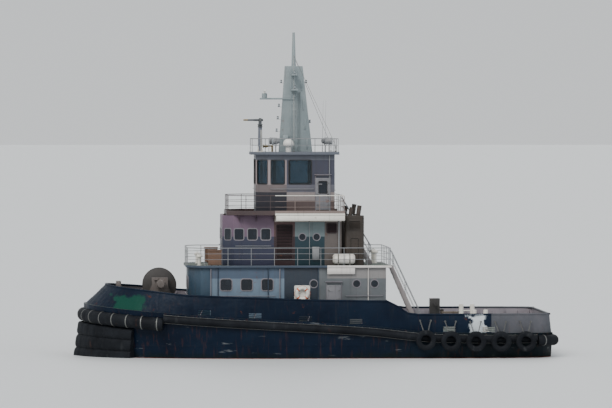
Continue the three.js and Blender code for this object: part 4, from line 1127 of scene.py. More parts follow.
EDGE_WHITE = ((232, 230, 222), (212, 208, 198), 0.35, 0.35, 0.4)
RAIL_GREY = weathered("rail_grey", (140, 142, 144), (112, 114, 118), 0.55, 0.3, 0.4, seed=76)
SNOW_WHITE = weathered("edge_white", *EDGE_WHITE, seed=78)
BOAT_EDGE = weathered("boat_edge", (62, 76, 92), (50, 62, 78), 0.35, 0.35, 0.4, seed=77, zones=[
    ((220, 216, 212), (198, 194, 190), ("X", -9, -0.9))])
LOCKER_BROWN = weathered("locker_brown", (112, 78, 58), (92, 70, 56), 0.4, 0.4, 0.45, seed=80)


def decked(node, edge_paint):
    """A deck plate from its CAD solid: coated on top, painted on its edge and below."""
    for face in dressed(node, "_plate", [edge_paint, DECK_FINISH], "trim_paint").data.polygons:
        face.material_index = int(face.normal.z > 0.9)


def guard_rail(shape, corners, base, high=1, step=1.25, bars=(0.36, 0.68)):
    """Welded tube rails along a line of corners in plan, on posts with round feet."""
    corners = [Vector((x, y, base)) for x, y in corners]
    for share, radius, sides in [(1, 0.021, 8)] + [(bar, 0.012, 6) for bar in bars]:
        shape.rod([p + UP * high * share for p in corners], radius, sides)
    long = sum((b - a).length for a, b in zip(corners, corners[1:]))
    post = Shape().rod([(0, 0, 0.002), (0, 0, high)], 0.018, 8)
    post.turned(stub(0.045, 0.012), (0, 0, 0.001), "Z", 10)
    row_along(shape, evened(corners, step / 4), post, max(int(long / step) + 1, 2), RAIL_GREY)


decked("boat_deck", BOAT_EDGE)
BOAT_TOP, BOAT_AFT, BOAT_HALF = 5.1, -4.43, 3.29
rails, edging, vents, lockers = (Shape() for _ in range(4))
for side in (1, -1):
    guard_rail(rails, [(x, side * y) for x, y in (
        (BOAT_AFT, BOAT_HALF), (6.18, BOAT_HALF), (6.87, 2.45))], BOAT_TOP)
for x, start, end, step in ((6.87, 2.45, -2.45, 1.25), (BOAT_AFT, -BOAT_HALF, 1.82, 1.25),
                            (BOAT_AFT, 2.8, BOAT_HALF, 0.49)):
    guard_rail(rails, [(x, start), (x, end)], BOAT_TOP, step=step)
rails.piece("boat_deck_rails", [RAIL_GREY], "trim_paint", smooth=50)

# A half-round bar edges the deck, pipes drain it, and white plates hang under it at the rafts
for side in (1, -1):
    edging.rod([(x, side * y, 5.115) for x, y in (
        (BOAT_AFT - 0.03, 3.345), (6.22, 3.345), (6.94, 2.47))], 0.014, 6)
    for x in (-3.2, -0.4, 2.4, 5.2):
        edging.rod([(x, side * y, z) for y, z in ((3.3, 5), (3.24, 4.9), (3.24, 2.5))], 0.028, 8)
    edging.block((-2.45, side * 3.3, 4.64), (-0.9, side * 3.33, 5), 0.008)
edging.piece("boat_deck_drains", [BOAT_EDGE], "trim_paint", smooth=50)


def mushroom(shape, x, y, base, radius=0.17, high=0.62):
    """A mushroom vent: pipe, cap with a turned-down lip, and its hand wheel on top."""
    shape.turned([(radius * share, z) for share, z in (
        (0, 0), (0.75, 0), (0.75, 0.03), (0.55, 0.03), (0.55, high - 0.12), (0.95, high - 0.16),
        (1, high - 0.15), (1, high - 0.07), (0.7, high - 0.01), (0, high))], (x, y, base), "Z", 20)
    shape.rod([(x, y, base + high - 0.01), (x, y, base + high + 0.05)], 0.012, 6)
    shape.rod(circle((x, y, base + high + 0.05), 0.07, 12), 0.009, 6, looped=True)


def locker(shape, low, high, side):
    """A deck box with a lid that overhangs, two hasps on its outboard side and two feet."""
    low, high = ordered(low, high)
    shape.block(low + UP * 0.05, high - UP * 0.06, 0.015)
    shape.block((low.x - 0.02, low.y - 0.02, high.z - 0.065), high + Vector((0.02, 0.02, 0)), 0.015)
    for share in (0.25, 0.75):
        x, y = low.x + (high.x - low.x) * share, (high if side > 0 else low).y
        shape.block((x - 0.02, y - 0.015, high.z - 0.14),
                    (x + 0.02, y + 0.02, high.z - 0.04), 0.004)
        shape.block((x - 0.04, low.y + 0.04, low.z), (x + 0.04, high.y - 0.04, low.z + 0.06))


for fore_y, aft_y in ((1.9, -1.4), (-1.9, -2.75)):
    mushroom(vents, 6.2, fore_y, BOAT_TOP)
    mushroom(vents, -3.9, aft_y, BOAT_TOP, 0.2, 0.75)
for side in (1, -1):
    locker(lockers, (5, side * 2.75, BOAT_TOP), (5.75, side * 3.1, BOAT_TOP + 0.9), side)
vents.piece("boat_deck_vents", [SNOW_WHITE], "trim_paint", smooth=50)
lockers.piece("boat_deck_lockers", [LOCKER_BROWN], "trim_paint")

# Upper house
# Steel cabins on the boat deck: slate forward with a row of windows, then a maroon field with a
# tall louvre, a dark teal one, and grey-brown to the end. Each field is paler at its top. The slate
# and the dark teal are partly paint and partly painted shade under the bridge deck's overhang.

MAROON, MAROON_WORN = (38, 22, 26), (48, 30, 34)
HIGH, LOUVRE_FIELD, TEAL_FIELD = ("Z", 6.72, 8.2), ("X", 0.86, 2.04), ("X", -0.8, 0.86)
# Slate and dark teal: partly paint, partly painted shade under the bridge deck's overhang
UPPER_PAINT = weathered(
    "upper_house_paint", (44, 42, 66), (36, 44, 64), 0.3, 0.3, 0.42, 0.01, 84, [
        ((108, 86, 104), (88, 70, 88), HIGH),
        (MAROON, MAROON_WORN, LOUVRE_FIELD),
        ((82, 58, 58), (70, 50, 50), LOUVRE_FIELD, HIGH),
        ((8, 38, 48), (14, 48, 58), TEAL_FIELD),
        ((104, 118, 120), (90, 104, 108), TEAL_FIELD, HIGH),
        ((96, 88, 84), (82, 76, 74), ("X", -9, -0.8)),
        ((190, 182, 174), (170, 162, 156), ("X", -9, 2), ("Z", 7.55, 8.2))])
GRILLE_MAROON = weathered("grille_maroon", MAROON, MAROON_WORN, 0.5, 0.4, 0.45, seed=86)
plated("upper_house", "upper_house_paint", -1.4, 3.9, UPPER_PAINT, UPPER_PAINT)

UPPER_SIDE, UPPER_FRONT = 2.5, 4.9
frames, panes, fittings, vents = (Shape() for _ in range(4))
for side in (1, -1):
    wall, face = side * UPPER_SIDE, (0, side, 0)
    for x in (4, 3.25, 2.5):
        window(frames, panes, (x, wall, 6.85), face, 0.5, 0.6, 0.08)
    for x in (0.45, -0.35):
        window(frames, panes, (x, wall, 6.7), face, 0.36, 0.36, 0.18, 0.05)
    louvre(vents, (1.45, wall, 6.4), face, 0.86, 1.9, 22)
    storm_rail(fittings, (4.2, wall, 6.2), (2.2, wall, 6.2), face)
    louvre(vents, (-1.2, wall, 7.2), face, 0.5, 0.5, 6)
    for x, y, radius, sides in ((-1.6, 2.56, 0.035, 8), (0.05, 2.54, 0.018, 6)):
        fittings.rod([(x, side * y, z) for z in (5.12, 7.9)], radius, sides)
    fittings.block((-0.5, wall, 5.45), (-0.1, side * 2.68, 6.15), 0.02)
    window(frames, panes, (4.6, side * 2.15, 6.85), (0.7, side * 0.6, 0), 0.5, 0.6, 0.08)
for y in (-1.15, 0, 1.15):
    window(frames, panes, (UPPER_FRONT, y, 6.85), (1, 0, 0), 0.72, 0.6, 0.08)
storm_rail(fittings, (UPPER_FRONT, -1.6, 6.2), (UPPER_FRONT, 1.6, 6.2), (1, 0, 0))
frames.piece("upper_house_window_frames", [FRAME_GREY, GASKET], "trim_paint")
panes.piece("upper_house_windows", [ROOM_SHADE_GLASS], "window_glass")
fittings.piece("upper_house_fittings", [RAIL_GREY], "trim_paint", smooth=50)
vents.piece("upper_house_louvres", [GRILLE_MAROON, VENT_DARK], "upper_house_paint")

# Bridge deck
# The deck round the wheelhouse, brown at its edge forward and white aft, with a toe board, guard
# rails, a deeper white edge plate aft, and knees that carry its overhang from the upper house.

BRIDGE_EDGE = weathered("bridge_edge", *EDGE_WHITE, seed=79, zones=[
    ((70, 54, 54), (58, 46, 48), ("X", 2, 9)),
    ((134, 118, 112), (112, 100, 96), ("X", -9, 2), ("Z", 8.03, 9))])
decked("bridge_deck", BRIDGE_EDGE)
BRIDGE_TOP, BRIDGE_UNDER = 8.02, 7.915
# Toe board, at each corner of its port half. Columns: x and y of its outer face, of its inner face
TOE_BOARD = [(-1.9, 3.21, -1.9, 3.19), (3.68, 3.21, 3.67, 3.19), (4.66, 2.13, 4.64, 2.12)]
toe_line = TOE_BOARD + [(a, -b, c, -d) for a, b, c, d in reversed(TOE_BOARD)]
toe_low, toe_high = BRIDGE_TOP + 0.001, BRIDGE_TOP + 0.161
trim = Shape().skin([[(a, b, toe_low), (a, b, toe_high), (c, d, toe_high), (c, d, toe_low)]
                     for a, b, c, d in toe_line])
for side in (1, -1):
    for line in (((-1.86, 3.14), (3.65, 3.14), (4.59, 2.1)), ((-1.86, 3.14), (-1.86, 0.42))):
        guard_rail(trim, [(x, side * y) for x, y in line], BRIDGE_TOP)
    trim.block((-1.9, side * 3.155, 7.62), (1.95, side * 3.185, BRIDGE_UNDER), 0.008)
    for x in (-0.8, 0.16, 1.12, 2.08, 3.04, 4):
        trim.prism([(x, side * y, z) for y, z in (
            (UPPER_SIDE + 0.002, BRIDGE_UNDER), (3.12, BRIDGE_UNDER), (3.12, 7.87),
            (UPPER_SIDE + 0.002, 7.55))], (0.014, 0, 0))
guard_rail(trim, [(4.59, 2.1), (4.59, -2.1)], BRIDGE_TOP)
trim.piece("bridge_deck_rails", [BRIDGE_EDGE], "trim_paint", smooth=50)

# Wheelhouse
# Steel house with windows all round, dark below its fore windows and brown and grey aft, with
# rubber-set tinted panes between its posts, wipers on the fore windows and a lined room inside.

AFTER, FORE, SILL_BAND, POST_BAND = ("X", -9, 1.3), ("X", 1.3, 9), ("Z", 9.2, 9.62), ("Z", 9.62, 11)
WHEEL_PAINT = weathered(
    "wheelhouse_paint", (84, 70, 68), (72, 60, 60), 0.4, 0.45, 0.4, 0.008, 90, [
        ((140, 130, 128), (122, 114, 114), ("Z", 8.72, 9.2)),
        ((92, 92, 102), (80, 80, 90), SILL_BAND),
        ((40, 38, 48), (30, 32, 40), FORE, ("Z", 8, 9.2)),
        ((108, 98, 98), (92, 86, 88), FORE, SILL_BAND),
        ((150, 136, 136), (132, 120, 122), FORE, POST_BAND),
        ((60, 62, 78), (48, 50, 64), AFTER, POST_BAND),
        ((92, 95, 105), (80, 84, 94), ("Z", 11, 11.5))])
plated("wheelhouse", "wheelhouse_paint", -1.1, 2, WHEEL_PAINT, WHEEL_PAINT)

# Tinted safety glass that lets the room behind it show, with dried salt on it
CLEAR_GLASS = Finish("window_glass", 0.03).set("Transmission Weight", 0.92).set("IOR", 1.33)
salt = CLEAR_GLASS.noise(2.4, 0.55, 0.85, (1, 1, 0.6), 7, 12)
CLEAR_GLASS.colour(CLEAR_GLASS.laid((96, 118, 132), salt, 0.35, (150, 158, 160)))
CLEAR_GLASS.rough(salt, 0.02, 0.16)
for node in ("wheelhouse_glass_fore", "wheelhouse_glass_aft"):
    dressed(node, "_panes", [CLEAR_GLASS], "window_glass", 0, flat=0.8, soft=25)

WINDOW_LOW, WINDOW_HIGH, POST_WIDE = 9.65, 11, 0.11
WHEEL_LINE = [(1.3, -2), (2.3, -2), (3, -1.25), (3, 1.25), (2.3, 2), (1.3, 2)]
# Rows of windows. Columns: start and end of the wall, windows in it, margin at start and end
WINDOW_ROWS = [(a, b, 3 if a[0] == b[0] else 1, 0.06, 0.06)
               for a, b in zip(WHEEL_LINE, WHEEL_LINE[1:])]
WINDOW_ROWS += [((-1.4, -2), (1.3, -2), 1, 1.2497, 0.0603),
                ((1.3, 2), (-1.4, 2), 1, 0.0603, 1.2497),
                ((-1.4, 1.9297), (-1.4, -1.9297), 3, 0.2, 0.2)]
gaskets, wipers, rails = (Shape() for _ in range(3))
for start, end, count, before, after in WINDOW_ROWS:
    start, end = Vector((*start, 0)), Vector((*end, 0))
    run = (end - start).normalized()
    face, pitch = run.cross(UP), ((end - start).length - before - after) / count
    wide, high = pitch - POST_WIDE, WINDOW_HIGH - WINDOW_LOW
    inner, outer = (rounded(wide - less, high - less, radius) for less, radius in (
        (0.05, 0.05), (0.006, 0.02)))
    for i in range(count):
        middle = start + run * (before + (i + 0.5) * pitch) + UP * (WINDOW_LOW + WINDOW_HIGH) / 2
        spot = on_wall(middle, face)
        hoop(gaskets, spot, inner, 0.05, 0.02)
        gaskets.skin([[spot(a, b, c) for a, b in ring] for ring, c in (
            (inner, -0.066), (inner, 0.002), (outer, 0.002), (outer, -0.066))], looped=True)
        if face.x > 0.3:
            pivot = spot(0, high / 2 + 0.02, 0.03)
            wipers.rod([pivot - face * 0.03, pivot], 0.022, 8)
            wipers.rod([pivot, spot(wide * 0.22, -0.05, 0.03)], 0.008, 6)
            wipers.rod([spot(wide * 0.22 + a, b, 0.02) for a, b in ((-0.02, 0.22), (0.05, -0.36))],
                       0.011, 6)
for side in (1, -1):
    storm_rail(rails, (2.2, side * 2, 9.38), (-0.2, side * 2, 9.38), (0, side, 0))
    rails.rod([(-1.1, side * 2.05, z) for z in (8.05, 11.28)], 0.026, 8)
storm_rail(rails, (-1.4, 1.6, 9.3), (-1.4, -1.6, 9.3), (-1, 0, 0))
storm_rail(rails, (3, 1.1, 9.38), (3, -1.1, 9.38), (1, 0, 0))
gaskets.piece("wheelhouse_window_gaskets", [GASKET], "trim_paint")
wipers.piece("wheelhouse_wipers", [GASKET], "trim_paint", smooth=50)
rails.piece("wheelhouse_rails", [RAIL_GREY], "trim_paint", smooth=50)

# Wheelhouse roof
# Overhanging steel roof with guard rails. Four searchlights, two horns, two satellite domes and
# two whip aerials are bolted to it.

ROOF_TOP = 11.45
ROOF_GREY = weathered("roof_grey", (98, 102, 112), (82, 88, 98), 0.4, 0.3, 0.6, seed=94)
LENS_GLASS = Finish("light_lens", 0.08).clouded(6, (176, 184, 188), (140, 150, 158))
DOME_WHITE = Finish("dome_white", 0.35).clouded(2, (226, 226, 222), (206, 206, 200),
                                                stretch=(1, 1, 0.3))
HORN_BRASS = Finish("horn_brass", 0.3, 1).clouded(6, (176, 150, 96), (120, 104, 74), high=0.75)
dressed("wheelhouse_roof", "_plate", [ROOF_GREY], "trim_paint")
rails, lights, domes, whips, horns = (Shape() for _ in range(5))
for line in (((-1.58, 2.19), (2.25, 2.19), (3.2, 1.15)),
             ((-1.58, -2.19), (2.25, -2.19), (3.2, -1.15)), ((-1.58, 2.19), (-1.58, -2.19))):
    guard_rail(rails, line, ROOF_TOP, 0.75, bars=(0.5,))


def searchlight(shape, x, y, aim):
    """A searchlight on a post and yoke. Mark 0 is its body, mark 1 its lens."""
    middle, heading = Vector((x, y, ROOF_TOP + 0.62)), Vector((cos(aim), sin(aim), 0))
    arm, drop = UP.cross(heading) * 0.23, UP * 0.26
    shape.rod([(x, y, ROOF_TOP), (x, y, ROOF_TOP + 0.34)], 0.035, 10)
    shape.rod([middle + arm, middle + arm - drop, middle - arm - drop, middle - arm], 0.02, 8)
    shape.rod([middle + heading * out for out in (-0.24, -0.2, -0.06, 0.12, 0.17)],
              [0.02, 0.13, 0.18, 0.2, 0.2], 20)
    shape.rod([middle + heading * 0.16, middle + heading * 0.185], 0.175, 20, 1)


for side in (1, -1):
    searchlight(lights, 1.9, side * 1.7, side * 0.12)
    searchlight(lights, -1.1, side * 1.75, pi - side * 0.15)
    foot, head = (Vector((-0.9, side * 1.2, ROOF_TOP + up)) for up in (0, 0.35))
    whips.rod([foot, head], 0.022, 8)
    whips.rod([head, foot + Vector((-0.05, 0, 2.9))], [0.011, 0.005], 6)
for y, radius in ((0.95, 0.3), (-0.95, 0.22)):
    foot = [(0, 0), (radius * 0.5, 0), (radius * 0.5, 0.3), (radius * 0.9, 0.34)]
    shell = [(radius * cos(t), 0.45 + radius * sin(t)) for t in map(radians, range(0, 91, 10))]
    domes.turned(foot + shell, (1.15, y, ROOF_TOP), "Z", 28)
for y, long in ((-0.88, 0.55), (-0.32, 0.42)):
    horns.rod([(1.95 + long * share, y, ROOF_TOP + 0.32) for share in (0, 0.5, 0.8, 0.97, 1)],
              [0.035, 0.035, 0.06, 0.1, 0.11], 16)
    horns.rod([(2, y, ROOF_TOP), (2, y, ROOF_TOP + 0.32)], 0.025, 8)
rails.piece("roof_rails", [RAIL_GREY], "trim_paint", smooth=50)
lights.piece("roof_searchlights", [RAIL_GREY, LENS_GLASS], "mast_paint", smooth=50)
whips.piece("roof_whip_antennas", [RAIL_GREY], "mast_paint", smooth=50)
domes.piece("roof_domes", [DOME_WHITE], "mast_paint", smooth=50)
horns.piece("roof_horns", [HORN_BRASS], "mast_paint", smooth=50)

# Helm
# Moulded console with four dark screens, a panel of levers and a grab rail, and a swivel chair of
# dark vinyl cushions on a steel post.

CONSOLE_GREY = Finish("console_grey", 0.55).clouded(3, (70, 74, 78), (58, 62, 66))
CONSOLE_GREY.bump(CONSOLE_GREY.noise(180), 0.0006)
SCREEN = Finish("screen_glass", 0.08).clouded(1.5, (8, 14, 20), (18, 30, 40))
dressed("helm_console", "_shell", [CONSOLE_GREY], "helm_trim", 0.03, soft=30)
console, chair_base = Shape(), Shape()
panel = Matrix.Translation((1.78, 0, 9.29)) @ Matrix.Rotation(-atan2(0.27, 0.55), 4, "Y")
for y in (-0.72, -0.24, 0.24, 0.72):
    console.block((-0.16, y - 0.2, -0.005), (0.17, y + 0.2, 0.02), 0.012)
    console.block((-0.14, y - 0.18, 0), (0.15, y + 0.18, 0.025), 0.004, 1)
console.verts = [tuple(panel @ Vector(v)) for v in console.verts]
for y in (-0.99, 0.99, -0.48, 0, 0.48):
    foot, knob = panel @ Vector((-0.12, y, 0)), panel @ Vector((-0.15, y, 0.1))
    console.rod([foot, knob], 0.008, 8)
    console.turned([(0, -0.025), (0.02, -0.015), (0.026, 0), (0.02, 0.018), (0, 0.025)],
                   knob, "Z", 12)
console.rod([(1.47, -1, 9.1), (1.43, -1, 9.1), (1.43, 1, 9.1), (1.47, 1, 9.1)], 0.016, 8)
console.piece("helm_console_fittings", [CONSOLE_GREY, SCREEN], "helm_trim", smooth=50)

VINYL = Finish("chair_vinyl", 0.5).clouded(4, (34, 32, 34), (48, 44, 44))
VINYL.bump(VINYL.noise(90), 0.0008)
CHAIR_STEEL = Finish("chair_steel", 0.35, 0.9).clouded(5, (128, 130, 132), (100, 102, 104))
chair_base.turned([(0, 0), (0.26, 0), (0.26, 0.03), (0.1, 0.05), (0.06, 0.09), (0.06, 0.74),
                   (0, 0.74)], (0.7, 0, 8.03), "Z", 28)
chair_base.block((0.45, -0.24, 8.765), (0.95, 0.24, 8.8), 0.012)
for side in (1, -1):
    chair_base.rod([(x, side * y, z) for x, y, z in (
        (0.48, 0.25, 8.79), (0.48, 0.29, 9.04), (0.84, 0.29, 9.05))], 0.018, 8)
chair_base.piece("helm_chair_base", [CHAIR_STEEL], "helm_trim", replaces=["helm_chair"], smooth=50)

CUSHION_RINGS, CUSHION_SWELL = 10, 0.02


def cushion(low, high):
    """A stuffed cushion: a box whose faces bulge toward their middles and whose rims are soft."""
    low, high = Vector(low), Vector(high)
    middle, half, rings = (low + high) / 2, (high - low) / 2, []
    for up in (-1 + 2 * k / CUSHION_RINGS for k in range(CUSHION_RINGS + 1)):
        size = (1 - abs(up) ** 6 * 0.16) * (1 + CUSHION_SWELL * (1 - up ** 2))
        rings.append([middle + Vector((half.x * a * size, half.y * b * size, half.z * up))
                      for a, b in rounded(2, 2, 0.35, 6)])
    return Shape().skin(rings)


for name, low, high in (("seat", (0.44, -0.25, 8.802), (0.96, 0.25, 8.9)),
                        ("back", (0.385, -0.23, 8.93), (0.475, 0.23, 9.6)),
                        ("arm_port", (0.5, 0.25, 9.055), (0.86, 0.33, 9.09)),
                        ("arm_stbd", (0.5, -0.33, 9.055), (0.86, -0.25, 9.09))):
    cushion(low, high).piece("helm_chair_" + name, [VINYL], "helm_trim", smooth=70)

# Mast
# Tapered plate mast on the roof with a radar shelf, two crosstrees and a pole. Ladders, junction
# boxes, navigation lights, cable runs, two whip aerials and wire stays are fixed to it.

MAST_GREY = weathered("mast_grey", (140, 150, 152), (118, 130, 134), 0.45, 0.4, 0.42, seed=100)
LAMP_BLACK = Finish("lamp_black", 0.5).clouded(8, (26, 26, 28), (44, 44, 46))
STAY_WIRE = Finish("stay_wire", 0.4, 0.9).clouded(12, (112, 112, 110), (84, 80, 76))
dressed("mast", "_plating", [MAST_GREY], "mast_paint", 0.008)
MAST_X, LADDER_Y = 0.8, 0.3
MAST_LINE = [(11.46, 0.95), (16.3, 0.5)]     # height, half length of the plate there


def mast_reach(z):
    """Half the mast plate's length at a height."""
    (low, wide), (high, narrow) = MAST_LINE
    return wide + (narrow - wide) * (z - low) / (high - low)


gear, lamps, stays = (Shape() for _ in range(3))
for side in (1, -1):
    for edge in (-0.17, 0.17):
        gear.rod([(MAST_X + edge, side * LADDER_Y, 11.5),
                  (MAST_X + edge * 0.9, side * LADDER_Y, 16.1)], 0.014, 6)
        for z in (12, 13.4, 14.7):
            gear.rod([(MAST_X + edge, side * y, z) for y in (0.18, LADDER_Y)], 0.012, 6)
for side in (1, -1):
    for z in (11.75 + 0.3 * i for i in range(11)):
        gear.rod([(MAST_X + x, side * LADDER_Y, z) for x in (-0.17, 0.17)], 0.011, 6)

# Navigation lights: the turned profiles of base, ribbed lens and cap
MAST_LAMP = (stub(0.055, 0.045), [
    (0, 0.046), (0.045, 0.046), (0.052, 0.07), (0.045, 0.09), (0.052, 0.11), (0.045, 0.13),
    (0, 0.131)], [(0, 0.132), (0.058, 0.132), (0.05, 0.165), (0, 0.175)])
YARD_LAMP = (stub(0.05, 0.05), [
    (0, 0.051), (0.044, 0.051), (0.052, 0.09), (0.044, 0.13), (0, 0.131)], [
    (0, 0.132), (0.056, 0.132), (0.03, 0.17), (0, 0.17)])


def lamp(parts, place):
    """A navigation light. Mark 0 is its base and cap, mark 1 its lens."""
    for profile, mark in zip(parts, (0, 1, 0)):
        lamps.turned(profile, place, "Z", 14, mark)


for z, face in ((12.6, 1), (13.3, 1), (14, 1), (15.35, 1), (13.1, -1), (15.35, -1)):
    x = MAST_X + face * (mast_reach(z) + 0.12)
    end = x - face * 0.08
    gear.block((end - 0.13, -0.06, z - 0.015), (end + 0.16, 0.06, z), 0.004)
    lamp(MAST_LAMP, (x, 0, z))
for side in (1, -1):
    for z, y in ((15.01, 1.36), (15.01, 0.8), (15.86, 0.92)):
        lamp(YARD_LAMP, (MAST_X, side * y, z))
    gear.rod([(MAST_X, side * 1.1, z) for z in (15.01, 17.2)], [0.012, 0.006], 6)
for z in (11.9, 13, 14.1, 15.2):
    x = MAST_X - mast_reach(z)
    gear.block((x + 0.12, -0.215, z - 0.3), (x + 0.2, 0.215, z + 0.3), 0.01)
for edge in (-0.36, -0.31, -0.26):
    gear.rod([(MAST_X + edge, 0.21, z) for z in (11.5, 14.85)], 0.014, 6)
gear.block((MAST_X + 0.32, 0.18, 11.9), (MAST_X + 0.62, 0.36, 12.4), 0.015)
for side in (1, -1):
    for x, y in ((-1.45, 2.05), (0.9, 2.12)):
        foot = Vector((x, side * y, 11.46))
        stays.rod([(MAST_X, side * 0.1, 16.9), foot + UP * 0.35], 0.009, 6)
        stays.rod([foot + UP * 0.33, foot + UP * 0.18], 0.02, 8)
        stays.rod([foot + UP * 0.2, foot], 0.012, 6)
        stays.block(foot - Vector((0.04, 0.012, 0)), foot + Vector((0.04, 0.012, 0.06)), 0.004)
lamps.piece("mast_lights", [LAMP_BLACK, LENS_GLASS], "mast_paint", smooth=50)
gear.piece("mast_gear", [MAST_GREY], "mast_paint", smooth=50)
stays.piece("mast_stays", [STAY_WIRE], "mast_paint", smooth=50)

# Radar scanner
# A white moulded slotted bar on its gearbox. It turns on the mast shelf.

RADAR_X, RADAR_Z = 2.45, 14.7603
RADAR_SECTION = [(-0.058, 0.082), (0.03, 0.082), (0.058, 0.1), (0.058, 0.19), (0.03, 0.208),
                 (-0.03, 0.208), (-0.058, 0.17)]
# Along the bar. Columns: y, size of the section there
RADAR_ENDS = [(-0.978, 0.82), (-0.95, 0.95), (-0.9, 1), (0.9, 1), (0.95, 0.95), (0.978, 0.82)]
radar = Shape().turned([(0, 0), (0.088, 0), (0.088, 0.03), (0.07, 0.045), (0.065, 0.085),
                        (0, 0.085)], (RADAR_X, 0, RADAR_Z), "Z", 24)
radar.skin([[(RADAR_X + x * size, y, RADAR_Z + 0.145 + (z - 0.145) * size)
             for x, z in RADAR_SECTION] for y, size in RADAR_ENDS])
radar.piece("radar_bar", [DOME_WHITE], "scanner_shell", "radar_scanner", ["radar_scanner"], 40)

# Fire monitor
# Grey steel water cannon on a stand on the roof: a flanged swivel with two cheeks, and a tapered
# barrel with a bronze nozzle that tips between them.

MONITOR_X, MONITOR_Z, PIVOT_Z = 2.7, 12.8503, 13.2503
MONITOR_PAINT = weathered("monitor_grey", (76, 80, 84), (62, 66, 70), 0.4, 0.3, 0.42, seed=104)
CHEEK_LINE = [(-0.085, 0.12), (0.085, 0.12), (0.085, 0.45), (0.05, 0.51), (-0.05, 0.51),
              (-0.085, 0.45)]
swivel, cannon, stand = (Shape() for _ in range(3))
swivel.turned([(0, 0), (0.149, 0), (0.149, 0.035), (0.12, 0.04), (0.12, 0.12), (0.149, 0.125),
               (0.149, 0.16), (0, 0.16)], (MONITOR_X, 0, MONITOR_Z), "Z", 28)
for bolt in circle((MONITOR_X, 0, MONITOR_Z + 0.159), 0.133, 8, turn=22.5):
    swivel.turned([(0, 0), (0.012, 0), (0.012, 0.012), (0, 0.014)], bolt, "Z", 6, 1)
for cheek_y, cap_y in ((0.112, 0.188), (-0.188, -0.208)):
    swivel.prism([(MONITOR_X + x, cheek_y, MONITOR_Z + z) for x, z in CHEEK_LINE], (0, 0.076, 0))
    swivel.turned([(0, 0), (0.045, 0), (0.045, 0.02), (0, 0.025)], (MONITOR_X, cap_y, PIVOT_Z),
                  "Y", 6, 1)
pivot = (MONITOR_X, 0, PIVOT_Z)
cannon.turned(stub(0.088, 0.1095, -0.1095), pivot, "Y", 24)
cannon.turned([(0, -0.175), (0.05, -0.17), (0.073, -0.13), (0.073, -0.05), (0.064, 0), (0.062, 0.3),
               (0.06, 0.32), (0.06, 0.35), (0.052, 0.36), (0.05, 0.7), (0, 0.7)], pivot, "X", 24)
cannon.turned([(0.03, 0.68), (0.046, 0.68), (0.046, 0.74), (0.044, 0.86), (0.046, 0.93),
               (0.046, 0.945), (0.032, 0.945), (0.03, 0.93)], pivot, "X", 24, 1, looped=True)
stand.turned(stub(0.24, 0.025), (MONITOR_X, 0, ROOF_TOP), "Z", 24)
for reach in circle((0, 0, 0), 1, 4, turn=45):
    thick = reach.cross(UP) * 0.012
    stand.prism([Vector((MONITOR_X, 0, ROOF_TOP + 0.02 + up)) + reach * out - thick / 2
                 for out, up in ((0.12, 0), (0.23, 0), (0.12, 0.3))], thick)
stand.rod([(MONITOR_X - 0.05, 0.16, z) for z in (ROOF_TOP, 12.7)], 0.018, 8)
swivel.piece("monitor_swivel_body", [MONITOR_PAINT, CLIP_STEEL], "deck_steel", "monitor_swivel",
             ["monitor_swivel"])
cannon.piece("monitor_cannon", [MONITOR_PAINT, HORN_BRASS], "deck_steel", "monitor_barrel",
             ["monitor_barrel"])
stand.piece("monitor_stand_foot", [SNOW_WHITE], "trim_paint")

# Funnels
# Black steel casings on the boat deck, each with a louvre and an access panel on its outer side
# and two exhaust pipes that stick out of the top plate and lean aft, sooty round the mouth.

SOOT_BLACK = weathered("funnel_black", (34, 30, 26), (52, 43, 36), 0.6, 0.4, 0.55, 0.008, 108)
PIPE_STEEL = weathered("exhaust_pipe", (70, 60, 54), (40, 36, 34), 0.8, 0.6, 0.65, seed=110)
FUNNEL_X, FUNNEL_Y, FUNNEL_HALF, FUNNEL_TOP = -2.48, 2.13, (0.54, 0.4), 7.9
# Exhaust pipes. Columns: x at the top plate, lean aft, height over the top, radius
PIPES = [(-0.22, 0.09, 0.56, 0.14), (0.23, 0.09, 0.46, 0.115)]
plan = rounded(2 * FUNNEL_HALF[0], 2 * FUNNEL_HALF[1], 0.18, 5)
for side, name in SIDES:
    def place(x, y, z):
        return Vector((FUNNEL_X + x, side * FUNNEL_Y + y, z))

    casing, trim, pipes = (Shape() for _ in range(3))
    casing.skin([[place(x * size, y * size, z) for x, y in plan]
                 for z, size in ((5.1005, 1), (7.86, 1), (7.895, 0.975))])
    for z in (5.14, 7, 7.72):
        trim.skin([[place(x * grow, y * grow, z + up) for x, y in plan]
                   for up, grow in ((0, 1), (0, 1.012), (0.04, 1.012), (0.04, 1))])
    louvre(trim, place(0, side * FUNNEL_HALF[1], 7.36), (0, side, 0), 0.6, 0.42, 6)
    window(trim, trim, place(0, side * FUNNEL_HALF[1], 6), (0, side, 0), 0.44, 1.25, 0.04)
    for x, lean, over, radius in PIPES:
        foot, mouth = place(x, 0, FUNNEL_TOP - 0.02), place(x - lean, 0, FUNNEL_TOP + over - 0.004)
        run = (mouth - foot).normalized()
        pipes.rod([foot, foot + run * 0.04, foot + run * 0.04, mouth, mouth, mouth - run * 0.3],
                  [radius * share for share in (0.98, 0.98, 0.9, 0.9, 0.78, 0.76)], 20)
    casing.piece(f"funnel_{name}_casing", [SOOT_BLACK], "hull_paint", replaces=[f"funnel_{name}"])
    trim.piece(f"funnel_{name}_trim", [SOOT_BLACK, VENT_DARK], "hull_paint")
    pipes.piece(f"funnel_{name}_pipes", [PIPE_STEEL], "hull_paint", smooth=50)

# Life rafts
# White moulded canisters in two halves, strapped down in steel cradles on the boat deck.

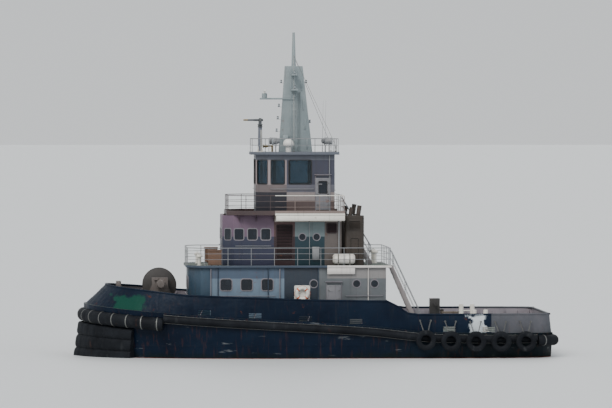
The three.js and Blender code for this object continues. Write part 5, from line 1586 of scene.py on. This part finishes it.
RAFT_WHITE = Finish("raft_white", 0.38).clouded(2, (226, 224, 218), (192, 186, 178), low=0.35,
                                                high=0.8, stretch=(1, 1, 0.4), detail=6)
STRAP_GREY = Finish("strap_webbing", 0.85).clouded(30, (70, 70, 66), (92, 90, 84))
RAFT_X, RAFT_Y, RAFT_Z, RAFT_HALF, RAFT_RADIUS = -1.85, 2.95, 5.48, 0.62, 0.3
raft_end = [(radius, inset - RAFT_HALF) for radius, inset in (
    (0, 0), (0.17, 0), (0.205, 0.012), (0.27, 0.08), (0.292, 0.14))]
raft_ribs = [(radius, middle + more) for middle in (-0.4, -0.2, 0, 0.2, 0.4)
             for radius, more in ((0.292, -0.04), (0.2995, -0.02), (0.2995, 0.02), (0.292, 0.04))]
for side, name in SIDES:
    shell, cradle, straps = (Shape() for _ in range(3))
    middle_y = side * RAFT_Y
    shell.turned(raft_end + raft_ribs + [(r, -x) for r, x in reversed(raft_end)],
                 (RAFT_X, middle_y, RAFT_Z), "X", 40)
    shell.rod([(RAFT_X + x, middle_y + y, RAFT_Z)
               for x, y in rounded(2 * RAFT_HALF, 2 * RAFT_RADIUS, 0.12)], 0.012, 6, looped=True)
    for x in (RAFT_X - 0.32, RAFT_X + 0.32):
        saddle = [(-0.24, 5.101), (0.24, 5.101), (0.24, 5.34)] + [
            (0.302 * cos(t), RAFT_Z + 0.302 * sin(t))
            for t in map(radians, range(-37, -144, -12))] + [(-0.24, 5.34)]
        cradle.prism([(x - 0.03, middle_y + y, z) for y, z in saddle], (0.06, 0, 0))
        straps.skin([circle((x + more, middle_y, RAFT_Z), radius, 36, "X") for more, radius in (
            (-0.022, 0.305), (0.022, 0.305), (0.022, 0.311), (-0.022, 0.311))], looped=True)
    shell.piece(f"liferaft_{name}_shell", [RAFT_WHITE], "raft_shell", replaces=[f"liferaft_{name}"],
                smooth=40)
    cradle.piece(f"liferaft_{name}_cradle", [CLIP_STEEL], "deck_steel")
    straps.piece(f"liferaft_{name}_straps", [STRAP_GREY], "raft_shell", smooth=50)

# Stairs
# Steel stairs of checkered treads between two stringers, with tube hand rails, from the main deck
# to the boat deck and from there to the bridge deck.

TREAD_GREY = weathered("stair_grey", (150, 144, 144), (126, 120, 120), 0.5, 0.4, 0.5, seed=114)
# Columns: node, top x and z, foot x and z, centre y, half breadth
STAIRS = [("stair_bridge", (-1.9, 8.02), (-3.5, 5.1), 0, 0.33),
          ("stair_main", (-4.5, 5.1), (-6.1, 1.46), 2.3, 0.36)]
for node, (top_x, top_z), (foot_x, foot_z), y, half in STAIRS:
    dressed(node, "_steps", [TREAD_GREY], "trim_paint", 0.006)
    rails, lift = Shape(), UP * 0.85
    for wall in (y + half + 0.015, y - half - 0.015):
        low = Vector((foot_x - 0.05, wall, foot_z + 0.2))
        high = Vector((top_x - 0.06, wall, top_z - 0.05))
        rails.rod([high + Vector((0.06, 0, 0.9)), high + lift, low + lift,
                   low + Vector((-0.02, 0, 0.5))], 0.019, 8)
        for foot in (low.lerp(high, share) for share in (0.06, 0.5, 0.94)):
            rails.rod([foot, foot + lift], 0.015, 8)
        rails.rod([low + lift * 0.5, high + lift * 0.5], 0.012, 6)
    rails.piece(node + "_rails", [RAIL_GREY], "trim_paint", smooth=50)

# Towing winch
# Steel winch on the foredeck. Two cheek plates on a bed carry a flanged drum wound with green
# fibre rope, with an electric motor at the port end and the hand wheel of its brake at the other.

WINCH_GREY = weathered("winch_grey", (104, 96, 92), (84, 78, 76), 0.6, 0.5, 0.5, 0.004, 118)
WINCH_DARK = weathered("winch_dark", (48, 46, 46), (60, 56, 54), 0.6, 0.4, 0.5, seed=120)
ROPE_GREEN = Finish("rope_green", 0.9).clouded(26, (28, 92, 70), (44, 120, 92),
                                               stretch=(1, 0.5, 1), detail=3, seed=5)
ROPE_GREEN.bump(ROPE_GREEN.noise(70), 0.004)
dressed("winch_frame", "_plates", [WINCH_GREY], "deck_steel")
WINCH_X, WINCH_Z, DRUM_HALF, FLANGE, CORE, ROPE_TURNS = 8.4, 3.95, 0.85, 0.95, 0.38, 20
CHEEK_OUT, inside, axle = DRUM_HALF + 0.12, DRUM_HALF - 0.06, (WINCH_X, 0, WINCH_Z)
drum_half = [(0, DRUM_HALF), (FLANGE - 0.03, DRUM_HALF), (FLANGE, DRUM_HALF - 0.015),
             (FLANGE, inside + 0.012), (FLANGE - 0.012, inside), (CORE, inside)]
drum = Shape().turned([(r, -y) for r, y in drum_half] + drum_half[::-1], axle, "Y", 72)
drum.piece("winch_drum_body", [WINCH_DARK], "deck_steel", "winch_drum", ["winch_drum"], 30)
pitch, lowest = (2 * inside - 0.008) / ROPE_TURNS, CORE + 0.001
turns = [(0.722 + 0.037 * sin(t), -inside + 0.004 + pitch * (i + (1 - cos(t)) / 2))
         for i in range(ROPE_TURNS) for t in (pi * k / 8 for k in range(1, 8))]
rope = Shape().turned([(lowest, -inside + 0.002)] + turns + [(lowest, inside - 0.002)],
                      axle, "Y", 72, looped=True)
rope.piece("winch_rope_turns", [ROPE_GREEN], "winch_line", "winch_drum", ["winch_rope"], 60)

# Ribs at the foot of both cheeks; bearing cap, motor, its cooling fins and brake wheel
gear = Shape()
for side, ribs in ((1, (-0.72, 0.72)), (-1, (-0.72, -0.36, 0, 0.36, 0.72))):
    if side < 0:
        gear.turned([(0, 0), (0.2, 0), (0.2, -0.07), (0.16, -0.09), (0, -0.1)],
                    (WINCH_X, -CHEEK_OUT, WINCH_Z), "Y", 28)
    low = CHEEK_OUT if side > 0 else -CHEEK_OUT - 0.09
    for x in ribs:
        gear.prism([(WINCH_X + x + more, low, z) for more, z in (
            (-0.01, 2.8), (0.01, 2.8), (0.01, 3), (-0.01, 3))], (0, 0.09, 0))
for bolt in circle((WINCH_X, -CHEEK_OUT - 0.075, WINCH_Z), 0.16, 9, "Y"):
    gear.turned([(0, 0), (0.02, 0), (0.02, -0.02), (0, -0.022)], bolt, "Y", 6)
motor = Vector((WINCH_X - 0.05, DRUM_HALF + 0.62, WINCH_Z + 0.1))
gear.turned([(0, 0), (0.28, 0), (0.28, 0.03), (0.24, 0.035), (0.24, 0.4), (0.2, 0.46), (0, 0.48)],
            motor, "Y", 28)
for i in range(7):
    gear.turned([(0.24, -0.008), (0.275, -0.008), (0.275, 0.008), (0.24, 0.008)],
                motor + Vector((0, 0.06 + 0.05 * i, 0)), "Y", 28, looped=True)
gear.block(motor + Vector((0.15, 0.005, 0.2)), motor + Vector((0.37, 0.18, 0.34)), 0.012)
brake = Vector((WINCH_X + 0.78, -DRUM_HALF - 0.3, 3.5))
gear.rod([brake + Vector((0, 0.2, 0)), brake], 0.02, 8)
gear.rod(circle(brake, 0.22, 24, "Y"), 0.014, 8, looped=True)
for spoke in circle((0, 0, 0), 0.22, 6, "Y", 30)[:3]:
    gear.rod([brake - spoke, brake + spoke], 0.009, 6)
gear.piece("winch_gear", [WINCH_GREY], "deck_steel", smooth=40)

# Staple, hatches and deck vents
# A welded arch of heavy pipe leads the rope over the bow. Raised steel hatches with dogged lids
# and mushroom vents stand on the foredeck and the after deck.

dressed("bow_staple", "_pipes", [WINCH_GREY], "deck_steel", 0.01, smooth=40)


def hatch(shape, x, y, half):
    """A raised hatch: a coaming, a lid that overhangs it and four dogs."""
    base = deck_at(x) - 0.02
    top = base + 0.3
    shape.block((x - half, y - half, base), (x + half, y + half, top), 0.02)
    lid = half + 0.04
    shape.block((x - lid, y - lid, top), (x + lid, y + lid, top + 0.05), 0.02, 1)
    for dx, dy in ((1, 0.5), (1, -0.5), (-1, 0.5), (-1, -0.5)):
        head = Vector((x + dx * (half + 0.06), y + dy * half, top + 0.07))
        shape.rod([head - UP * 0.14, head], 0.012, 6)
        shape.rod([head, head - Vector((dx * 0.1, 0, 0))], 0.01, 6)


gear = Shape()
for x, y, half in ((7.75, -2.1, 0.36), (-5.35, -2.2, 0.4), (-11.6, 0, 0.4), (-11.6, 2.45, 0.32),
                   (-11.6, -2.45, 0.32)):
    hatch(gear, x, y, half)
for x, y in ((7.6, 2.3), (11.5, 0), (-12.3, 3.6), (-12.3, -3.6), (-4.9, -3.9)):
    mushroom(gear, x, y, deck_at(x) - 0.02, 0.15, 0.55)
gear.piece("deck_hatches", [WINCH_GREY, DECK_FINISH], "deck_steel", smooth=40)

# Towing post and hook
# Box-section steel post aft of the house with a cross bar, its top plate and gussets, and a
# forged hook that swings on a pin between two lugs.

POST_DARK = weathered("tow_post_black", (40, 40, 42), (54, 52, 50), 0.6, 0.5, 0.5, 0.004, 124)
HOOK_STEEL = weathered("hook_steel", (108, 98, 88), (84, 74, 66), 0.7, 0.5, 0.5, seed=126)
POST_X, POST_HALF, POST_FOOT = -7.2, 0.28, 1.44
dressed("tow_post", "_plates", [POST_DARK], "hull_paint")
dressed("tow_hook", "_forging", [HOOK_STEEL], "deck_steel", 0.02, "tow_hook", smooth=50)
trim = Shape()
for dx, dy in ((1, 0), (-1, 0), (0, 1), (0, -1)):
    face, across = Vector((dx, dy, 0)), Vector((-dy, dx, 0))
    for shift in (-0.16, 0.16):
        foot = Vector((POST_X, 0, POST_FOOT)) + face * POST_HALF + across * (shift - 0.012)
        trim.prism([foot + face * out + UP * up for out, up in (
            (0, 0), (0.26, 0), (0.02, 0.42), (0, 0.42))], across * 0.024)
for side, pin_end in ((1, 2.52), (-1, 2.142)):
    trim.turned([(0, 0), (0.045, 0), (0.045, 0.035), (0, 0.04)], (-7.62, 0, pin_end), "Z", 6)
    trim.rod([(POST_X, side * y, 2.81) for y in (0.6, 0.645)], 0.085, 16)
trim.piece("tow_post_gussets", [POST_DARK], "hull_paint")

# Bollards
# Pairs of steel posts with caps on a welded base plate: white ones aft, black ones forward.

# Columns: place, x and y of the pair's middle, height and radius of its posts, paint, colour slot
BOLLARDS = [("aft", -9.4, 3.85, 1.25, 0.13, SNOW_WHITE, "trim_paint"),
            ("fore", 10.25, 2.35, 0.7, 0.14, POST_DARK, "hull_paint")]
for place, x, y, high, radius, paint, slot in BOLLARDS:
    base = deck_at(x)
    for side, name in SIDES:
        pair = Shape().block((x - 0.52, side * y - 0.19, base - 0.06),
                             (x + 0.52, side * y + 0.19, base + 0.045), 0.012)
        for middle in ((x - 0.32, side * y, base), (x + 0.32, side * y, base)):
            pair.turned([(radius * share, z) for share, z in (
                (0, -0.05), (1, -0.05), (1, high - 0.09), (0.99, high - 0.085),
                (0.99, high - 0.02), (0.85, high), (0, high))], middle, "Z", 28)
            pair.turned([(radius, 0.045), (radius + 0.035, 0.045), (radius, 0.09)], middle, "Z", 28,
                        looped=True)
        pair.rod([(end, side * y, base + high * 0.7) for end in (x - 0.46, x + 0.46)], 0.03, 10)
        node = f"bollard_{place}_{name}"
        pair.piece(node + "_posts", [paint], slot, "root", [node], 40)
